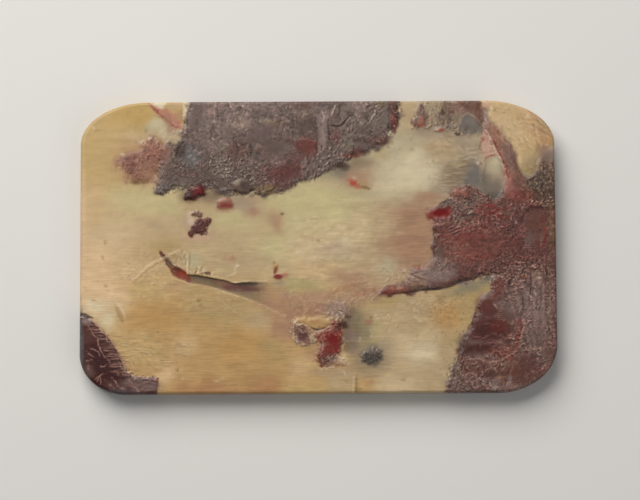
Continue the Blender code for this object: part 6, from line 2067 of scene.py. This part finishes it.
@dataclass(frozen=True)
class PolishedSoapstone:
    """Carved soapstone, rubbed smooth and waxed.

    The ground is close and silky with faint level tool lines. Rock and foliage are left a little rougher,
    and the grain shows as soft mottling a millimetre or two across.
    """

    ior: float = 1.57
    smooth: float = 0.40
    rough: float = 0.48
    specular: float = 0.28
    mottle_mm: float = 1.4
    mottle_colour: float = 0.12
    mottle_rough: float = 0.12
    grain_mm: float = 0.5
    line_pitch_mm: float = 0.5
    line_length_mm: float = 6.0
    grain_depth_mm: float = 0.06
    smooth_grain: float = 0.15
    line_depth_mm: float = 0.035
    grain_colour: float = 0.5
    line_colour: float = 0.5
    stroke_pitch_mm: float = 0.8
    stroke_length_mm: float = 1.7
    stroke_evenness: float = 0.85
    stroke_patch_mm: float = 3.2
    patch_range: tuple[float, float] = (0.36, 0.62)
    patch_least: float = 0.15
    stroke_depth_mm: float = 0.05
    stroke_colour: float = 0.66
    worn_range: tuple[float, float] = (0.56, 0.86)
    # The pale colour of the strokes' tops: partly wear, partly painted highlight
    wear_and_highlight_colour: str = "#CDB3A4"

    def material(self) -> bpy.types.Material:
        """Return the stone's material."""
        made = bpy.data.materials.new("polished_soapstone")
        made.use_nodes = True
        tree = made.node_tree
        shader = tree.nodes["Principled BSDF"]
        place = add_node(tree, "ShaderNodeTexCoord").outputs["Object"]
        stone = add_node(tree, "ShaderNodeAttribute", attribute_name="Stone").outputs["Color"]
        rock = add_node(tree, "ShaderNodeAttribute", attribute_name="Rock").outputs["Fac"]
        ripple = add_node(tree, "ShaderNodeAttribute", attribute_name="Ripple").outputs["Fac"]
        mottle = self.noise(tree, place, self.mottle_mm, detail=4.0)
        grain = self.noise(tree, place, self.grain_mm, detail=3.0)
        lines = self.lines(tree, place)
        change = combine(tree, "MULTIPLY_ADD", mottle, self.mottle_colour, 1 - self.mottle_colour / 2)
        finer = self.patterned(tree, grain, rock, self.grain_colour, 0.05)
        streaked = self.patterned(tree, lines, ripple, self.line_colour, 0.02)
        strokes, cut, peaks = self.strokes(tree, place, rock)
        chiselled = self.patterned(tree, strokes, cut, self.stroke_colour, 0.0)
        marked = combine(tree, "MULTIPLY", change, chiselled)
        shared = combine(tree, "MULTIPLY", marked, finer)
        factor = combine(tree, "MULTIPLY", shared, streaked)
        scaled = {0: stone, "Scale": factor}
        plain = add_node(tree, "ShaderNodeVectorMath", scaled, operation="SCALE").outputs[0]
        # The strokes' tops are paled where worn: partly wear, partly painted highlight
        pale = (*to_linear(srgb(self.wear_and_highlight_colour)), 1.0)
        colour = add_node(tree, "ShaderNodeMix", {0: peaks, 6: plain, 7: pale}, data_type="RGBA").outputs[2]
        tree.links.new(colour, shader.inputs["Base Color"])
        spread = {"Value": rock, "To Min": self.smooth, "To Max": self.rough}
        base = add_node(tree, "ShaderNodeMapRange", spread).outputs[0]
        varied = combine(tree, "MULTIPLY_ADD", mottle, self.mottle_rough, -self.mottle_rough / 2)
        tree.links.new(combine(tree, "ADD", base, varied), shader.inputs["Roughness"])
        deep = combine(tree, "MULTIPLY_ADD", cut, self.stroke_depth_mm * MILLIMETRE, 0.0)
        chipped = combine(tree, "MULTIPLY", strokes, deep)
        tree.links.new(self.bump(tree, grain, lines, rock, ripple, chipped), shader.inputs["Normal"])
        shader.inputs["IOR"].default_value = self.ior
        shader.inputs["Specular IOR Level"].default_value = self.specular
        shader.inputs["Metallic"].default_value = 0.0
        return made

    def noise(self, tree: bpy.types.NodeTree, place: bpy.types.NodeSocket, size_mm: float,
              detail: float) -> bpy.types.NodeSocket:
        """Return noise with lumps of a real size."""
        scale = 1 / (size_mm * MILLIMETRE)
        sockets = {"Vector": place, "Scale": scale, "Detail": detail, "Roughness": 0.55}
        return add_node(tree, "ShaderNodeTexNoise", sockets).outputs[0]

    def lines(self, tree: bpy.types.NodeTree, place: bpy.types.NodeSocket) -> bpy.types.NodeSocket:
        """Return long level streaks, as a scraper leaves them."""
        length, pitch = self.line_length_mm * MILLIMETRE, self.line_pitch_mm * MILLIMETRE
        scale = (1 / length, 1 / pitch, 1 / MILLIMETRE)
        mapped = add_node(tree, "ShaderNodeMapping", {"Vector": place, "Scale": scale}).outputs[0]
        sockets = {"Vector": mapped, "Scale": 1.0, "Detail": 2.0, "Distortion": 0.5}
        return add_node(tree, "ShaderNodeTexNoise", sockets).outputs[0]

    def patterned(self, tree: bpy.types.NodeTree, pattern: bpy.types.NodeSocket, mask: bpy.types.NodeSocket,
                  strength: float, least: float) -> bpy.types.NodeSocket:
        """Return a factor for the colour, about 1, that follows a pattern where a mask says so."""
        shown = combine(tree, "MULTIPLY_ADD", mask, strength, least)
        swing = combine(tree, "MULTIPLY_ADD", pattern, 1.0, -0.5)
        return combine(tree, "MULTIPLY_ADD", swing, shown, 1.0)

    def strokes(self, tree: bpy.types.NodeTree, place: bpy.types.NodeSocket,
                rock: bpy.types.NodeSocket) -> tuple[bpy.types.NodeSocket, ...]:
        """Return the chisel strokes along the combed direction, how deep they are and where their tops are
        paled, as wear and painted highlight.
        """
        turn = add_node(tree, "ShaderNodeAttribute", attribute_name="Turn").outputs["Fac"]
        sockets = {
            "Vector": place, "Scale": 1 / (self.stroke_length_mm * MILLIMETRE),
            "Frequency": self.stroke_length_mm / self.stroke_pitch_mm,
            "Anisotropy": self.stroke_evenness, "Orientation": turn,
        }
        strokes = add_node(tree, "ShaderNodeTexGabor", sockets, gabor_type="2D").outputs["Value"]
        patches = self.noise(tree, place, self.stroke_patch_mm, detail=2.0)
        shown = self.stretched(tree, patches, self.patch_range, self.patch_least)
        cut = combine(tree, "MULTIPLY", shown, rock)
        worn = add_node(tree, "ShaderNodeAttribute", attribute_name="Worn").outputs["Fac"]
        high = self.stretched(tree, strokes, self.worn_range, 0.0)
        peaks = combine(tree, "MULTIPLY", combine(tree, "MULTIPLY", high, shown), worn)
        return strokes, cut, peaks

    def stretched(self, tree: bpy.types.NodeTree, value: bpy.types.NodeSocket, reach: tuple[float, float],
                  least: float) -> bpy.types.NodeSocket:
        """Return a value that runs from a least share to 1 while the one given runs through its reach."""
        sockets = {"Value": value, "From Min": reach[0], "From Max": reach[1], "To Min": least}
        return add_node(tree, "ShaderNodeMapRange", sockets).outputs[0]

    def bump(self, tree: bpy.types.NodeTree, grain: bpy.types.NodeSocket, lines: bpy.types.NodeSocket,
             rock: bpy.types.NodeSocket, ripple: bpy.types.NodeSocket,
             chipped: bpy.types.NodeSocket) -> bpy.types.NodeSocket:
        """Return the normal that grain, tool lines and chisel strokes give, their depths in metres."""
        depth = self.grain_depth_mm * MILLIMETRE
        rocky = combine(tree, "MULTIPLY_ADD", rock, depth, self.smooth_grain * depth)
        grainy = combine(tree, "MULTIPLY", grain, rocky)
        lined = combine(tree, "MULTIPLY_ADD", ripple, self.line_depth_mm * MILLIMETRE, 0.0)
        height = combine(tree, "MULTIPLY_ADD", lines, lined, combine(tree, "ADD", grainy, chipped))
        sockets = {"Height": height, "Strength": 1.0, "Distance": 1.0}
        return add_node(tree, "ShaderNodeBump", sockets).outputs[0]


@dataclass
class Studio:
    """A plain pale floor, soft light from the picture's upper left, and the camera above."""

    floor_size: float = 3.0
    floor_colour: str = "#D9D8D4"
    floor_rough: float = 0.9
    camera_distance: float = 0.95
    camera_tilt: float = 5.8
    camera_roll: float = -0.3
    lens: float = 132.7
    aim: tuple[float, float] = (0.00034, -0.00054)
    key_place: tuple[float, float, float] = (-0.45, 0.82, 0.88)
    key_size: float = 1.1
    key_power: float = 21.6
    fill_place: tuple[float, float, float] = (0.9, -0.7, 1.0)
    fill_size: float = 1.4
    fill_power: float = 5.5
    key_colour: tuple[float, float, float] = (1.0, 0.975, 0.95)
    sky: str = "#8A8A8A"
    sky_strength: float = 0.42

    def build(self) -> None:
        """Add the floor, the lights and the camera."""
        scene = bpy.context.scene
        scene.view_settings.view_transform = "Standard"
        self.add_floor()
        self.add_light("key", self.key_place, self.key_size, self.key_power).color = self.key_colour
        self.add_light("fill", self.fill_place, self.fill_size, self.fill_power)
        world = bpy.data.worlds.new("studio")
        world.use_nodes = True
        sky = world.node_tree.nodes["Background"]
        sky.inputs["Color"].default_value = (*to_linear(srgb(self.sky)), 1.0)
        sky.inputs["Strength"].default_value = self.sky_strength
        scene.world = world
        self.add_camera()

    def add_floor(self) -> None:
        """Add the pale floor that the plaque lies on."""
        bpy.ops.object.select_all(action="DESELECT")
        bpy.ops.mesh.primitive_plane_add(size=self.floor_size, location=(0, 0, 0))
        floor = bpy.context.active_object
        floor.name = "floor"
        paper = bpy.data.materials.new("matt_paper")
        paper.use_nodes = True
        shader = paper.node_tree.nodes["Principled BSDF"]
        shader.inputs["Base Color"].default_value = (*to_linear(srgb(self.floor_colour)), 1.0)
        shader.inputs["Roughness"].default_value = self.floor_rough
        floor.data.materials.append(paper)

    def add_light(self, name: str, place: tuple[float, float, float], size: float,
                  power: float) -> bpy.types.Light:
        """Add a soft square light that faces the plaque, and return it."""
        light = bpy.data.lights.new(name, "AREA")
        light.shape = "SQUARE"
        light.size = size
        light.energy = power
        lamp = bpy.data.objects.new(name, light)
        bpy.context.collection.objects.link(lamp)
        lamp.location = place
        aim = -lamp.location
        lamp.rotation_mode = "QUATERNION"
        lamp.rotation_quaternion = aim.to_track_quat("-Z", "Y")
        return light

    def add_camera(self) -> None:
        """Add the camera, which looks down a little from the picture's lower side."""
        camera = bpy.data.objects.new("camera", bpy.data.cameras.new("camera"))
        bpy.context.collection.objects.link(camera)
        camera.data.lens = self.lens
        tilt = math.radians(self.camera_tilt)
        back, up = self.camera_distance * math.sin(tilt), self.camera_distance * math.cos(tilt)
        camera.location = (self.aim[0], self.aim[1] - back, up)
        camera.rotation_euler = (tilt, 0, math.radians(self.camera_roll))
        bpy.context.scene.camera = camera


def corners(bounds: tuple) -> list[list[float]]:
    """Return a box's two corners as plain lists."""
    return [[float(value) for value in corner] for corner in bounds]


def main() -> None:
    """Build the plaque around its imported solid, and the studio round it."""
    logging.basicConfig(level=logging.INFO, format="%(name)s: %(message)s")
    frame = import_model()
    LOG.info("packed nodes: %s", sorted(frame["nodes"]))
    sheet = CarvedFace().drawn()
    plaque = Slab().build(sheet, PolishedSoapstone().material())
    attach(plaque, "root")
    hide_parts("plaque")
    triangles = sum(len(polygon.vertices) - 2 for polygon in plaque.data.polygons)
    LOG.info("%s has %d triangles", plaque.name, triangles)
    Studio().build()
    bpy.context.view_layer.update()


if __name__ == "__main__":
    main()
